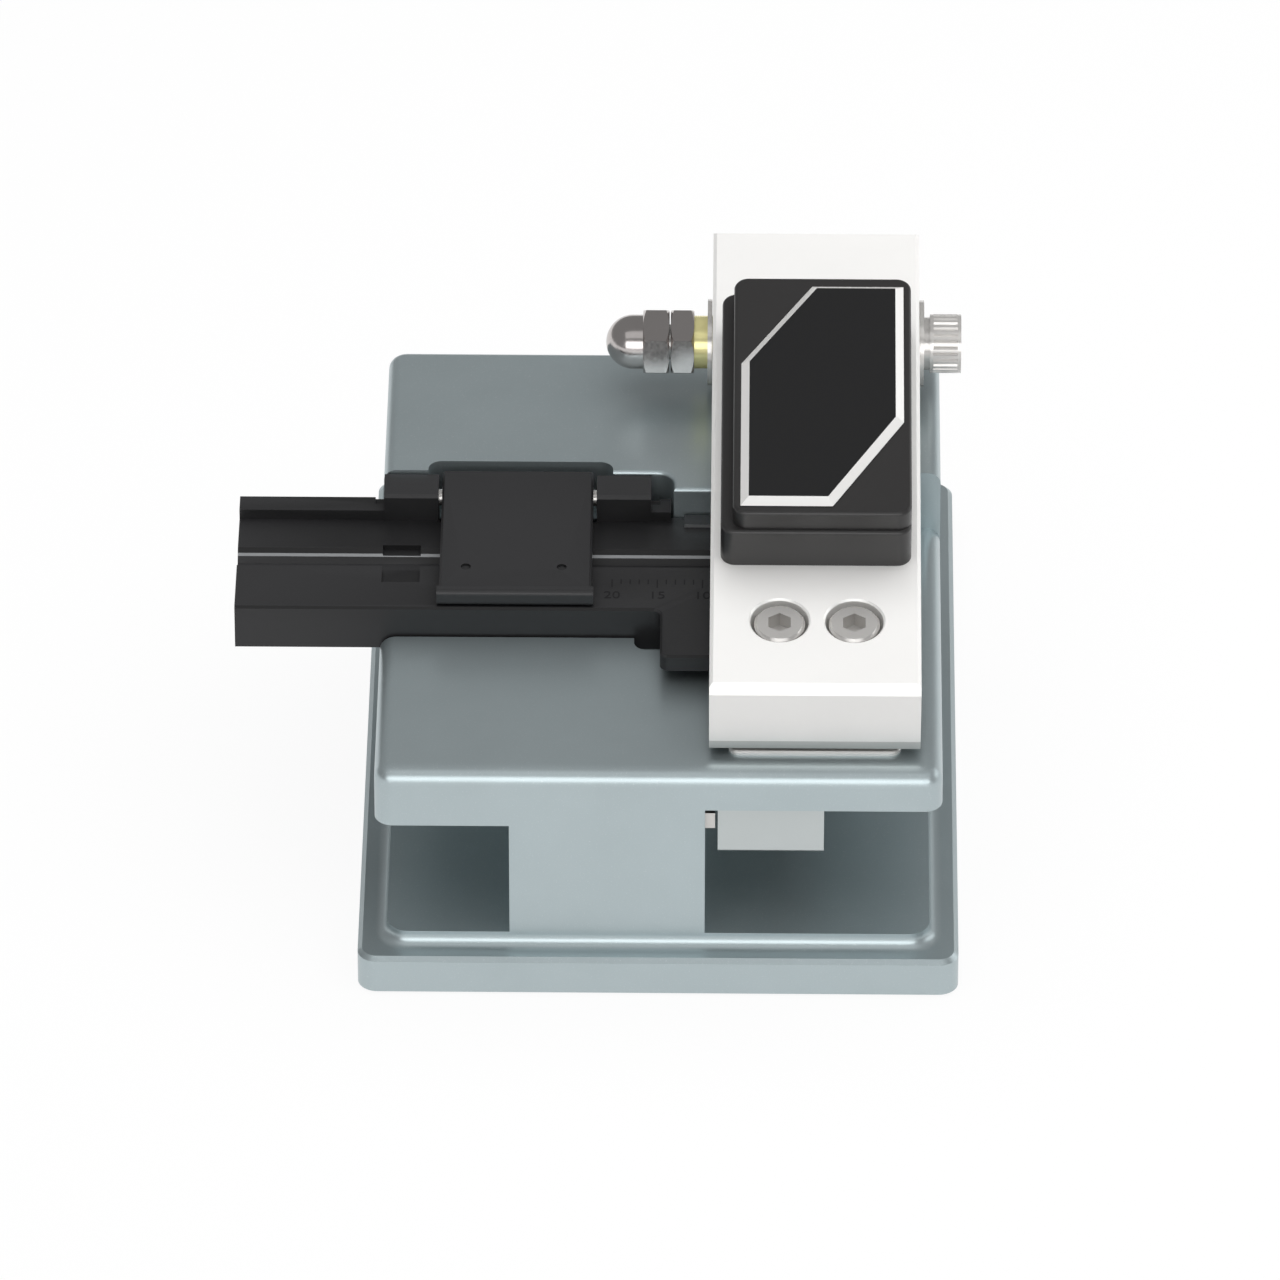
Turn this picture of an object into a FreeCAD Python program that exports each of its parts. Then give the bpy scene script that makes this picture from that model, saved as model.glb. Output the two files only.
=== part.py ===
import FreeCAD, Part
import math
import os

import Sketcher
from FreeCAD import Placement, Rotation, Vector

# Fibre cleaver. Millimetres, +X right, +Y towards the back, +Z up.
# The origin is the centre of the base's outline, at the level of the table.

doc = FreeCAD.newDocument("fibre_cleaver")
sheet = doc.addObject("Spreadsheet::Sheet", "sizes")
nodes = []
row = 0


# ---------------------------------------------------------------- dimensions

class Dim:
    """A length that also carries the spreadsheet formula it comes from."""

    def __init__(self, value, formula):
        self.value = value
        self.formula = formula

    def __add__(self, other):
        other = as_dim(other)
        return Dim(self.value + other.value, f"({self.formula} + {other.formula})")

    def __sub__(self, other):
        other = as_dim(other)
        return Dim(self.value - other.value, f"({self.formula} - {other.formula})")

    def __mul__(self, other):
        other = as_dim(other)
        return Dim(self.value * other.value, f"({self.formula} * {other.formula})")

    def __truediv__(self, other):
        other = as_dim(other)
        return Dim(self.value / other.value, f"({self.formula} / {other.formula})")

    def __neg__(self):
        return Dim(-self.value, f"(0 - {self.formula})")

    __radd__ = __add__
    __rmul__ = __mul__

    def __rsub__(self, other):
        return as_dim(other) - self


def as_dim(number):
    """A Dim as it is, or a plain number turned into one."""
    return number if isinstance(number, Dim) else Dim(float(number), repr(float(number)))


def size(alias, number):
    """One driving dimension: a cell with its name beside it."""
    global row
    row += 1
    sheet.set(f"A{row}", alias)
    sheet.set(f"B{row}", str(number))
    sheet.setAlias(f"B{row}", alias)
    return Dim(float(number), f"sizes.{alias}")


def sine(angle):
    return Dim(math.sin(math.radians(angle.value)), f"sin({angle.formula} * 1 deg)")


def cosine(angle):
    return Dim(math.cos(math.radians(angle.value)), f"cos({angle.formula} * 1 deg)")


def bind(thing, path, dim):
    """Drive one property of an object from the spreadsheet."""
    thing.setExpression(path, as_dim(dim).formula)


# ---------------------------------------------------------------- body tools

def new_body(label):
    body = doc.addObject("PartDesign::Body", label)
    register(body, label)
    return body


def register(thing, label):
    thing.Label = label
    nodes.append(thing)
    return thing


def origin_plane(body, role):
    return next(f for f in body.Origin.OriginFeatures if f.Role == role)


def new_sketch(body, role, level):
    """A sketch on one of the body's own origin planes, moved along its normal."""
    sketch = body.newObject("Sketcher::SketchObject", "sketch")
    sketch.AttachmentSupport = [(origin_plane(body, role), "")]
    sketch.MapMode = "FlatFace"
    bind(sketch, "AttachmentOffset.Base.z", level)
    return sketch


def flat(body, level):
    """A horizontal sketch: its axes are X and Y."""
    return new_sketch(body, "XY_Plane", level)


def frontal(body, level):
    """An upright sketch that faces the front: its axes are X and Z."""
    return new_sketch(body, "XZ_Plane", -as_dim(level))


def sideways(body, level):
    """An upright sketch that faces the side: its axes are Y and Z."""
    return new_sketch(body, "YZ_Plane", level)


def outline(sketch, points):
    """A closed outline of straight lines, every corner tied to the sheet."""
    points = [(as_dim(u), as_dim(v)) for u, v in points]
    first = sketch.GeometryCount
    for i, (u, v) in enumerate(points):
        u2, v2 = points[(i + 1) % len(points)]
        sketch.addGeometry(Part.LineSegment(Vector(u.value, v.value, 0), Vector(u2.value, v2.value, 0)))
    for i in range(len(points)):
        after = first + (i + 1) % len(points)
        sketch.addConstraint(Sketcher.Constraint("Coincident", first + i, 2, after, 1))
    for i, (u, v) in enumerate(points):
        for kind, dim in (("DistanceX", u), ("DistanceY", v)):
            place = sketch.addConstraint(Sketcher.Constraint(kind, -1, 1, first + i, 1, dim.value))
            bind(sketch, f"Constraints[{place}]", dim)
    return sketch


def rectangle(sketch, left, right, low, high):
    return outline(sketch, [(left, low), (right, low), (right, high), (left, high)])


def rounded_rectangle(sketch, left, right, low, high, radius):
    """A rectangle whose corners are arcs."""
    corners = [
        ((left, low + radius), (left + radius, low), (left + radius, low + radius), 180),
        ((right - radius, low), (right, low + radius), (right - radius, low + radius), 270),
        ((right, high - radius), (right - radius, high), (right - radius, high - radius), 0),
        ((left + radius, high), (left, high - radius), (left + radius, high - radius), 90),
    ]
    arcs = []
    lines = []
    for i, (start, end, centre, turn) in enumerate(corners):
        circle = Part.Circle(Vector(centre[0].value, centre[1].value, 0), Vector(0, 0, 1), radius.value)
        arcs.append(sketch.addGeometry(Part.ArcOfCircle(circle, math.radians(turn), math.radians(turn + 90))))
        after = corners[(i + 1) % 4][0]
        ends = [Vector(u.value, v.value, 0) for u, v in (end, after)]
        lines.append(sketch.addGeometry(Part.LineSegment(*ends)))
        for point, (u, v) in ((1, end), (2, after)):
            for kind, dim in (("DistanceX", u), ("DistanceY", v)):
                place = sketch.addConstraint(Sketcher.Constraint(kind, -1, 1, lines[i], point, dim.value))
                bind(sketch, f"Constraints[{place}]", dim)
    for i, arc in enumerate(arcs):
        sketch.addConstraint(Sketcher.Constraint("Coincident", arc, 2, lines[i], 1))
        sketch.addConstraint(Sketcher.Constraint("Coincident", arc, 1, lines[i - 1], 2))
        place = sketch.addConstraint(Sketcher.Constraint("Radius", arc, radius.value))
        bind(sketch, f"Constraints[{place}]", radius)
    return sketch


def disc(sketch, u, v, radius):
    u, v, radius = as_dim(u), as_dim(v), as_dim(radius)
    circle = Part.Circle(Vector(u.value, v.value, 0), Vector(0, 0, 1), radius.value)
    index = sketch.addGeometry(circle)
    for kind, dim in (("DistanceX", u), ("DistanceY", v)):
        place = sketch.addConstraint(Sketcher.Constraint(kind, -1, 1, index, 3, dim.value))
        bind(sketch, f"Constraints[{place}]", dim)
    place = sketch.addConstraint(Sketcher.Constraint("Radius", index, radius.value))
    bind(sketch, f"Constraints[{place}]", radius)
    return sketch


def pad(body, sketch, length):
    """Adds material on the side that the sketch's normal points to."""
    feature = body.newObject("PartDesign::Pad", "pad")
    feature.Profile = sketch
    bind(feature, "Length", length)
    doc.recompute()
    return feature


def pocket(body, sketch, length, forward=False):
    """Cuts against the sketch's normal, or along it when forward."""
    before = body.Shape.Volume
    feature = body.newObject("PartDesign::Pocket", "pocket")
    feature.Profile = sketch
    feature.Reversed = forward
    bind(feature, "Length", length)
    doc.recompute()
    if body.Shape.Volume >= before - 1e-6:
        raise RuntimeError(f"a pocket in {body.Label} cuts nothing")
    return feature


def revolve(body, sketch, axis="H_Axis"):
    feature = body.newObject("PartDesign::Revolution", "revolution")
    feature.Profile = sketch
    feature.ReferenceAxis = (sketch, [axis])
    feature.Angle = 360
    doc.recompute()
    return feature


def edges_where(shape, test):
    """Names of the edges all of whose sample points pass the test."""
    found = []
    for number, edge in enumerate(shape.Edges, 1):
        points = edge.discretize(5)
        if all(test(p) for p in points):
            found.append(f"Edge{number}")
    return found


def near(number, *targets):
    return any(abs(number - as_dim(t).value) < 1e-4 for t in targets)


def round_edges(body, test, radius):
    return dress(body, "PartDesign::Fillet", "Radius", test, radius)


def bevel_edges(body, test, width):
    return dress(body, "PartDesign::Chamfer", "Size", test, width)


def dress(body, kind, path, test, amount):
    base = body.Tip
    names = edges_where(base.Shape, test)
    if not names:
        raise RuntimeError(f"no edge to dress in {body.Label}")
    feature = body.newObject(kind, "edge_finish")
    feature.Base = (base, names)
    bind(feature, path, amount)
    doc.recompute()
    return feature


# ---------------------------------------------------------- primitive tools

TURNS = {
    "+z": Rotation(),
    "-z": Rotation(Vector(1, 0, 0), 180),
    "+x": Rotation(Vector(0, 1, 0), 90),
    "-x": Rotation(Vector(0, 1, 0), -90),
    "+y": Rotation(Vector(1, 0, 0), -90),
}


def put(thing, at, way="+z", turn=0):
    """Place an object: its own +Z points the given way, and it is turned about that axis."""
    at = [as_dim(a) for a in at]
    spin = Rotation(Vector(0, 0, 1), turn)
    thing.Placement = Placement(Vector(*(a.value for a in at)), TURNS[way] * spin)
    for letter, dim in zip("xyz", at):
        bind(thing, f"Placement.Base.{letter}", dim)
    return thing


def cylinder(radius, length, at=(0, 0, 0), way="+z"):
    thing = doc.addObject("Part::Cylinder", "cylinder")
    bind(thing, "Radius", radius)
    bind(thing, "Height", length)
    return put(thing, at, way)


def cone(low_radius, high_radius, length, at=(0, 0, 0), way="+z"):
    thing = doc.addObject("Part::Cone", "cone")
    bind(thing, "Radius1", low_radius)
    bind(thing, "Radius2", high_radius)
    bind(thing, "Height", length)
    return put(thing, at, way)


def block(corner, length, width, height):
    thing = doc.addObject("Part::Box", "block")
    bind(thing, "Length", length)
    bind(thing, "Width", width)
    bind(thing, "Height", height)
    return put(thing, corner)


def hexagon(across_flats, length, at=(0, 0, 0), way="+z", turn=0):
    thing = doc.addObject("Part::Prism", "hexagon")
    thing.Polygon = 6
    bind(thing, "Circumradius", across_flats / math.sqrt(3))
    bind(thing, "Height", length)
    return put(thing, at, way, turn)


def square_bar(half_diagonal, length, at, way, turn):
    thing = doc.addObject("Part::Prism", "square_bar")
    thing.Polygon = 4
    bind(thing, "Circumradius", half_diagonal)
    bind(thing, "Height", length)
    return put(thing, at, way, turn)


def fuse(*things):
    joined = doc.addObject("Part::MultiFuse", "fusion")
    joined.Shapes = list(things)
    return joined


def common(first, second):
    shared = doc.addObject("Part::Common", "common")
    shared.Base = first
    shared.Tool = second
    return shared


def cut(base, *tools):
    rest = doc.addObject("Part::Cut", "cut")
    rest.Base = base
    rest.Tool = tools[0] if len(tools) == 1 else fuse(*tools)
    return rest


def group(label, things):
    """One node of placed pieces: a single one, or identical ones that share the node."""
    bundle = doc.addObject("Part::Compound", label)
    bundle.Links = things
    return register(bundle, label)


SOCKET_SHARE = 0.6
HEAD_BEVEL = 0.1


def cap_screw(head_radius, head_height, shank_radius, reach, key, at, way):
    """Socket cap screw: the seat under its head is at the given point, its head points the given way."""
    bevel = head_height * HEAD_BEVEL
    head = cylinder(head_radius, head_height - bevel)
    crown = cone(head_radius, head_radius - bevel, bevel, (0, 0, head_height - bevel))
    shank = cylinder(shank_radius, reach, (0, 0, -reach))
    socket_low = head_height * (1 - SOCKET_SHARE)
    socket = hexagon(key, head_height * SOCKET_SHARE, (0, 0, socket_low), turn=30)
    return put(cut(fuse(head, crown, shank), socket), at, way)


def tilt_with_arm(thing):
    """Turn an object made level about the pivot into the arm's closed position."""
    thing.Placement = Placement(Vector(0, pivot_y.value, pivot_z.value), Rotation(Vector(1, 0, 0), arm_tilt.value))
    bind(thing, "Placement.Base.y", pivot_y)
    bind(thing, "Placement.Base.z", pivot_z)
    bind(thing, "Placement.Rotation.Angle", arm_tilt)
    return thing


# ------------------------------------------------------- driving dimensions

gap = size("gap", 0.3)
slide_gap = size("slide_gap", 0.15)
run_fit = size("run_fit", 0.05)

base_width = size("base_width", 66)
base_depth = size("base_depth", 92)
base_top = size("base_top", 4.8)
base_corner = size("base_corner", 2.2)
base_edge = size("base_edge", 0.5)
foot_proud = size("foot_proud", 0.3)
foot_radius = size("foot_radius", 4.5)
foot_thick = size("foot_thick", 1.5)
foot_inset = size("foot_inset", 8)

plateau_inset = size("plateau_inset", 3.2)
face_setback = size("face_setback", 2.8)
plateau_rise = size("plateau_rise", 1.7)
plateau_corner = size("plateau_corner", 2.4)
plateau_root = size("plateau_root", 1.3)

deck_width = size("deck_width", 62)
deck_depth = size("deck_depth", 70.6)
deck_top = size("deck_top", 28)
deck_corner = size("deck_corner", 2)
deck_edge = size("deck_edge", 1.8)
left_wing_under = size("left_wing_under", 20.9)
right_wing_under = size("right_wing_under", 23.2)
post_left = size("post_left", -16.3)
post_width = size("post_width", 21.4)
rear_rise = size("rear_rise", 7.5)
rear_edge = size("rear_edge", 1.4)
rear_wall = size("rear_wall", 49.6)
boss_left = size("boss_left", 1.3)
boss_width = size("boss_width", 25.7)
boss_step = size("boss_step", 3.3)
boss_root = size("boss_root", 2)
boss_edge = size("boss_edge", 0.5)
lug_radius = size("lug_radius", 4.7)
notch_length = size("notch_length", 2.9)
notch_depth = size("notch_depth", 2.2)
notch_round = size("notch_round", 1.4)
relief_margin = size("relief_margin", 1.6)
relief_extra = size("relief_extra", 0.6)
relief_depth = size("relief_depth", 1.8)
relief_round = size("relief_round", 1.5)

guide_front = size("guide_front", 28.55)
guide_depth = size("guide_depth", 19.4)
guide_sink = size("guide_sink", 1.7)
guide_thick = size("guide_thick", 5.4)
guide_left = size("guide_left", -47)
guide_right = size("guide_right", 13)
rail_depth = size("rail_depth", 2.6)
rail_rise = size("rail_rise", 1.25)
tab_left = size("tab_left", 0)
tab_reach = size("tab_reach", 8.8)
tab_thick = size("tab_thick", 2)
tab_corner = size("tab_corner", 1)
ledge_rise = size("ledge_rise", 0.45)
ledge_depth = size("ledge_depth", 1.8)
ledge_left = size("ledge_left", 2.5)
groove_front = size("groove_front", 36.5)
groove_width = size("groove_width", 3.4)
groove_slope = size("groove_slope", 1.3)
groove_depth = size("groove_depth", 1.25)
cross_width = size("cross_width", 4.2)
cross_depth = size("cross_depth", 0.6)
cross_front = size("cross_front", 4.9)
cross_length = size("cross_length", 7)
guide_edge = size("guide_edge", 0.25)

ear_height = size("ear_height", 3.4)
ear_depth = size("ear_depth", 4.15)
ear_width = size("ear_width", 6.05)
ear_behind = size("ear_behind", 1.4)
ear_edge = size("ear_edge", 0.35)
lid_side = size("lid_side", 0.4)
lid_left = size("lid_left", -24.45)
lid_width = size("lid_width", 16.8)
lid_front_height = size("lid_front_height", 1.9)
lid_rear_height = size("lid_rear_height", 3.35)
lid_tail = size("lid_tail", 2.7)
lid_pin_radius = size("lid_pin_radius", 0.9)
lid_pin_height = size("lid_pin_height", 1.7)
lid_pin_inset = size("lid_pin_inset", 1.9)
lid_barrel = size("lid_barrel", 1.3)
lid_relief = size("lid_relief", 2.3)
lid_lip = size("lid_lip", 1.1)
lid_lip_proud = size("lid_lip_proud", 0.25)
lid_edge = size("lid_edge", 0.25)
lid_hole = size("lid_hole", 0.55)
magnet_radius = size("magnet_radius", 1.2)
magnet_inset = size("magnet_inset", 2.1)
magnet_depth = size("magnet_depth", 1.2)
steel_disc_thick = size("steel_disc_thick", 1)

fibre_y_from_front = size("fibre_line", 37.8)
fibre_drop = size("fibre_drop", 0.85)
blade_x = size("blade_x", 14.6)
blade_radius = size("blade_radius", 8)
blade_thick = size("blade_thick", 2)
blade_start = size("blade_start", 27.8)
blade_stroke = size("blade_stroke", 20)
axle_radius = size("axle_radius", 1.5)
cheek_thick = size("cheek_thick", 2.2)
cheek_length = size("cheek_length", 8)
cheek_rise = size("cheek_rise", 2.7)
cheek_round = size("cheek_round", 1.2)

carriage_left = size("carriage_left", 6.5)
carriage_height = size("carriage_height", 6.15)
carriage_inset = size("carriage_inset", 1.0)
carriage_length = size("carriage_length", 33.2)
rail_neck = size("rail_neck", 2)
rail_head = size("rail_head", 3.4)
rail_neck_reach = size("rail_neck_reach", 1.6)
rail_reach = size("rail_reach", 3.1)
slide_rail_inset = size("slide_rail_inset", 2.2)
slide_rail_length = size("slide_rail_length", 63)
stop_radius = size("stop_radius", 0.8)
stop_depth = size("stop_depth", 1.6)
stop_ahead = size("stop_ahead", 2.2)
strip_reach = size("strip_reach", 1.1)
carriage_front_wall = size("carriage_front_wall", 1.5)
carriage_edge = size("carriage_edge", 0.4)
rail_drop = size("rail_drop", 1.85)

arm_tilt = size("arm_tilt", 9.8)
pivot_from_front = size("pivot_from_front", 66.4)
nose_gap = size("nose_gap", 0.38)
arm_left = size("arm_left", 5.5)
arm_width = size("arm_width", 23.05)
arm_ahead = size("arm_ahead", 61.4)
arm_behind = size("arm_behind", 10.4)
arm_top = size("arm_top", 7.3)
arm_thick = size("arm_thick", 8.1)
arm_sheet = size("arm_sheet", 2.2)
arm_wall = size("arm_wall", 3.2)
arm_nose = size("arm_nose", 20)
lobe_gap = size("lobe_gap", 0.8)
arm_edge = size("arm_edge", 1.0)
arm_side_edge = size("arm_side_edge", 0.4)
nose_plate_thick = size("nose_plate_thick", 1.4)
nose_plate_length = size("nose_plate_length", 13)
nose_plate_edge = size("nose_plate_edge", 0.3)
nose_screw_inset = size("nose_screw_inset", 10.5)
nose_screw_spacing = size("nose_screw_spacing", 8.16)
striker_thick = size("striker_thick", 0.5)
striker_length = size("striker_length", 12)
striker_width = size("striker_width", 18.8)
striker_corner = size("striker_corner", 1.2)
striker_edge = size("striker_edge", 0.2)
striker_from_front = size("striker_from_front", 6.45)

sleeve_radius = size("sleeve_radius", 2.97)
bolt_radius = size("bolt_radius", 2)
disc_radius = size("disc_radius", 4.84)
disc_thick = size("disc_thick", 0.5)
sleeve_out = size("sleeve_out", 1.5)
nut_flats = size("nut_flats", 7)
nut_bevel = size("nut_bevel", 0.35)
nut_gap = size("nut_gap", 0.15)
lock_nut_height = size("lock_nut_height", 2.63)
cap_nut_height = size("cap_nut_height", 2.95)
dome_height = size("dome_height", 4.15)
dome_radius = size("dome_radius", 3.05)
bolt_washer_thick = size("bolt_washer_thick", 0.67)
bolt_head_radius = size("bolt_head_radius", 3.3)
bolt_head_height = size("bolt_head_height", 3.5)

cover_left = size("cover_left", 6.6)
cover_width = size("cover_width", 20.9)
cover_front = size("cover_front", 18.95)
cover_length = size("cover_length", 37.6)
cover_step_height = size("cover_step_height", 5.1)
cover_height = size("cover_height", 7.56)
cover_ledge_left = size("cover_ledge_left", 1.3)
cover_ledge_front = size("cover_ledge_front", 0.5)
cover_corner = size("cover_corner", 1.6)
cover_round = size("cover_round", 0.45)
cover_wall = size("cover_wall", 1.4)
badge_thick = size("badge_thick", 0.75)
badge_bevel = size("badge_bevel", 0.65)
badge_bevel_width = size("badge_bevel_width", 0.9)

pad_length = size("pad_length", 3)
pad_width = size("pad_width", 4)
clamp_height = size("clamp_height", 3.9)
clamp_half_width = size("clamp_half_width", 5.4)
clamp_half_depth = size("clamp_half_depth", 3.0)
clamp_pin_offset = size("clamp_pin_offset", 3.9)
clamp_pin_radius = size("clamp_pin_radius", 0.8)
spring_radius = size("spring_radius", 1.35)
spring_wire = size("spring_wire", 0.22)
anvil_thick = size("anvil_thick", 2.2)
anvil_depth = size("anvil_depth", 3)

# ------------------------------------------------------------ derived places

front = base_depth * -0.5
side = deck_width / 2
deck_front = front + face_setback
deck_back = deck_front + deck_depth
floor_top = base_top + plateau_rise
post_right = post_left + post_width
rear_top = deck_top + rear_rise
wall_y = front + rear_wall
boss_y = wall_y - boss_step
boss_right = boss_left + boss_width

guide_y = front + guide_front
guide_back = guide_y + guide_depth
guide_low = deck_top - guide_sink
bed = guide_low + guide_thick
channel_front = guide_y - gap
fibre_y = front + fibre_y_from_front
fibre_z = bed - fibre_drop

pivot_y = front + pivot_from_front
arm_right = arm_left + arm_width
arm_mid = arm_left + arm_width / 2
arm_front = -arm_ahead
arm_under = arm_top - arm_thick
sheet_under = arm_top - arm_sheet
inner_left = arm_left + arm_wall
inner_right = arm_right - arm_wall
nose_low = arm_under - nose_plate_thick
striker_top = deck_top + striker_thick
pivot_z = striker_top + nose_gap + arm_ahead * sine(arm_tilt) - nose_low * cosine(arm_tilt)
arm_lobe = pivot_z - rear_top - lobe_gap

blade_y = front + blade_start
blade_z = fibre_z - blade_radius
wheel_room = blade_thick + gap * 2
cheek_left = blade_x - wheel_room / 2 - cheek_thick
cheek_right = blade_x + wheel_room / 2 + cheek_thick
carriage_right = cheek_right
carriage_top = right_wing_under - gap
carriage_low = carriage_top - carriage_height
carriage_y = deck_front + carriage_inset
carriage_back = carriage_y + carriage_length
cheek_top = carriage_top + cheek_rise
window_left = cheek_left - gap
window_right = cheek_right + gap
window_front = blade_y - cheek_length / 2 - gap
window_back = blade_y + blade_stroke + cheek_length / 2 + gap
slot_front = blade_y - blade_radius - gap
slot_back = blade_y + blade_stroke + blade_radius + gap
rail_z = (right_wing_under + left_wing_under) / 2 - rail_drop
rail_y = deck_front + slide_rail_inset
rail_back = rail_y + slide_rail_length
rail_head_y = carriage_y + carriage_front_wall + blade_stroke + gap * 1.5
stop_x = cheek_left - stop_radius - gap * 2.5
stop_y = blade_y + stop_ahead

lid_right = lid_left + lid_width
lid_low = bed + slide_gap
lid_mid = lid_left + lid_width / 2
magnet_y = guide_y + magnet_inset
pin_y = front + rear_wall - lid_pin_inset - slide_gap * 2
pin_z = bed + lid_pin_height
ear_back = guide_back + ear_behind
ear_front = ear_back - ear_depth
left_ear = lid_left - lid_side - ear_width
right_ear = lid_right + lid_side

fibre_local_y = (fibre_y - pivot_y) * cosine(arm_tilt) + (fibre_z - pivot_z) * sine(arm_tilt)


def local_z_at(level, local_y):
    """Height in the arm's own frame of a point of a level plane, when the arm is closed."""
    return (level - pivot_z - local_y * sine(arm_tilt)) / cosine(arm_tilt)


# ------------------------------------------------------------- frame and feet

def make_frame_body():
    body = new_body("frame_body")
    half_width = base_width / 2
    half_depth = base_depth / 2

    plate = rectangle(flat(body, foot_proud), -half_width, half_width, -half_depth, half_depth)
    pad(body, plate, base_top - foot_proud)
    round_edges(body, lambda p: near(abs(p.x), half_width) and near(abs(p.y), half_depth), base_corner)
    bevel_edges(body, lambda p: near(p.z, base_top), base_edge)

    plateau_x = half_width - plateau_inset
    plateau_y = half_depth - face_setback
    pad(body, rectangle(flat(body, base_top), -plateau_x, plateau_x, -plateau_y, plateau_y), plateau_rise)
    round_edges(body, lambda p: near(abs(p.x), plateau_x) and near(abs(p.y), plateau_y), plateau_corner)
    round_edges(
        body,
        lambda p: near(p.z, base_top) and abs(p.x) < half_width.value - 1 and abs(p.y) < half_depth.value - 1,
        plateau_root,
    )

    # Post and the two wings: the left wing is the thicker one.
    pad(body, rectangle(flat(body, floor_top), post_left, post_right, deck_front, deck_back), deck_top - floor_top)
    wings = [
        (-side, left_wing_under),
        (post_right, left_wing_under),
        (post_right, right_wing_under),
        (side, right_wing_under),
        (side, deck_top),
        (-side, deck_top),
    ]
    pad(body, outline(frontal(body, deck_back), wings), deck_depth)
    round_edges(body, lambda p: near(abs(p.x), side) and near(p.y, deck_front), deck_corner)
    round_edges(body, lambda p: near(p.z, deck_top) and p.y < deck_back.value - 1e-3, deck_edge)

    # Raised rear deck with a boss that steps forward.
    rear = [
        (-side, wall_y),
        (boss_left, wall_y),
        (boss_left, boss_y),
        (boss_right, boss_y),
        (boss_right, wall_y),
        (side, wall_y),
        (side, deck_back),
        (-side, deck_back),
    ]
    root = deck_top - deck_edge * 1.2
    pad(body, outline(flat(body, root), rear), rear_top - root)
    round_edges(body, lambda p: near(abs(p.x), side) and near(p.y, deck_back) and p.z > floor_top.value, deck_corner)
    rim_x = side.value - deck_corner.value - 1e-3
    rim_y = deck_back.value - deck_corner.value - 1e-3
    round_edges(body, lambda p: near(p.z, rear_top) and (abs(p.x) > rim_x or p.y > rim_y), rear_edge)

    # Lug between the arm's cheeks.
    lug_left = inner_left + gap
    lug_width = arm_width - arm_wall * 2 - gap * 2
    lug_front = pivot_y - lug_radius
    lug = rectangle(sideways(body, lug_left), lug_front, lug_front + lug_radius * 2, rear_top - 1, pivot_z)
    pad(body, lug, lug_width)
    pad(body, disc(sideways(body, lug_left), pivot_y, pivot_z, lug_radius), lug_width)
    pocket(body, disc(sideways(body, lug_left), pivot_y, pivot_z, sleeve_radius), lug_width, forward=True)

    # Channel that seats the guide and the fibre rest, with its relief at the tab.
    # The boss keeps the rounded corner of the cutter that worked along the wall.
    channel_right = boss_right - 1
    channel = [
        (-side - 1, channel_front),
        (channel_right, channel_front),
        (channel_right, boss_y),
        (boss_left, boss_y),
        (boss_left, wall_y),
        (-side - 1, wall_y),
    ]
    pocket(body, outline(flat(body, deck_top + 1), channel), guide_sink + 1)
    round_edges(body, lambda p: near(p.x, boss_left) and near(p.y, wall_y), boss_root)
    notch_left = tab_left - notch_length
    notch_front = channel_front - notch_depth
    pocket(body, rectangle(flat(body, deck_top), notch_left, window_left, notch_front, channel_front + 1), guide_sink)
    round_edges(body, lambda p: near(p.x, notch_left) and near(p.y, notch_front), notch_round)

    # Relief behind the lid, so that its tail can swing down.
    relief_left = lid_left - relief_margin
    relief_right = lid_right + relief_margin + relief_extra
    relief_back = wall_y + relief_depth
    pocket(body, rectangle(flat(body, rear_top + 1), relief_left, relief_right, wall_y - 1, relief_back), rear_rise)
    round_edges(body, lambda p: near(p.x, relief_left, relief_right) and near(p.y, relief_back), relief_round)
    along_boss = (relief_right.value - 1e-3, boss_right.value + 1e-3, boss_y.value - 1e-3, wall_y.value + 1e-3)
    round_edges(
        body,
        lambda p: near(p.z, rear_top) and along_boss[0] < p.x < along_boss[1] and along_boss[2] < p.y < along_boss[3],
        boss_edge,
    )

    # Openings for the blade and the carriage's cheeks.
    through = rear_top - right_wing_under + 2
    top = flat(body, rear_top + 1)
    pocket(body, rectangle(top, window_left, window_right, window_front, boss_y), through)
    undercut = cheek_top + gap
    tunnel = rectangle(flat(body, undercut), window_left, window_right, boss_y - 1, window_back)
    pocket(body, tunnel, undercut - right_wing_under + 1)
    half_slot = blade_thick / 2 + gap * 1.3
    slot = flat(body, rear_top + 1)
    pocket(body, rectangle(slot, blade_x - half_slot, blade_x + half_slot, slot_front, slot_back), through)

    # Seats of the feet, screws and the stop pin.
    feet = flat(body, foot_thick)
    for x, y in foot_places():
        disc(feet, x, y, foot_radius)
    pocket(body, feet, foot_thick)
    holes = flat(body, left_wing_under)
    seats = flat(body, left_wing_under)
    for x in guide_screw_places():
        disc(holes, x, fibre_y, guide_screw_radius + gap / 2)
        disc(seats, x, fibre_y, guide_screw_head + gap / 2)
    pocket(body, holes, guide_low - left_wing_under + 1, forward=True)
    pocket(body, seats, guide_screw_seat, forward=True)
    rail_holes = sideways(body, post_right)
    for y in rail_screw_places():
        disc(rail_holes, y, rail_z, rail_screw_radius)
    pocket(body, rail_holes, rail_screw_reach)
    pocket(body, disc(flat(body, right_wing_under), stop_x, stop_y, stop_radius), stop_seat, forward=True)
    for x, y in striker_screw_places():
        pocket(body, disc(flat(body, deck_top), x, y, striker_screw_radius), striker_screw_reach)
    rest_hole = disc(flat(body, guide_low), rest_screw_x, rest_screw_y, rest_screw_radius)
    pocket(body, rest_hole, rest_screw_bite + gap / 2)


def foot_places():
    half_width = base_width / 2 - foot_inset
    half_depth = base_depth / 2 - foot_inset
    return [(x, y) for x in (-half_width, half_width) for y in (-half_depth, half_depth)]


def make_rubber_feet():
    group("rubber_feet", [cylinder(foot_radius, foot_thick, (x, y, 0)) for x, y in foot_places()])


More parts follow.
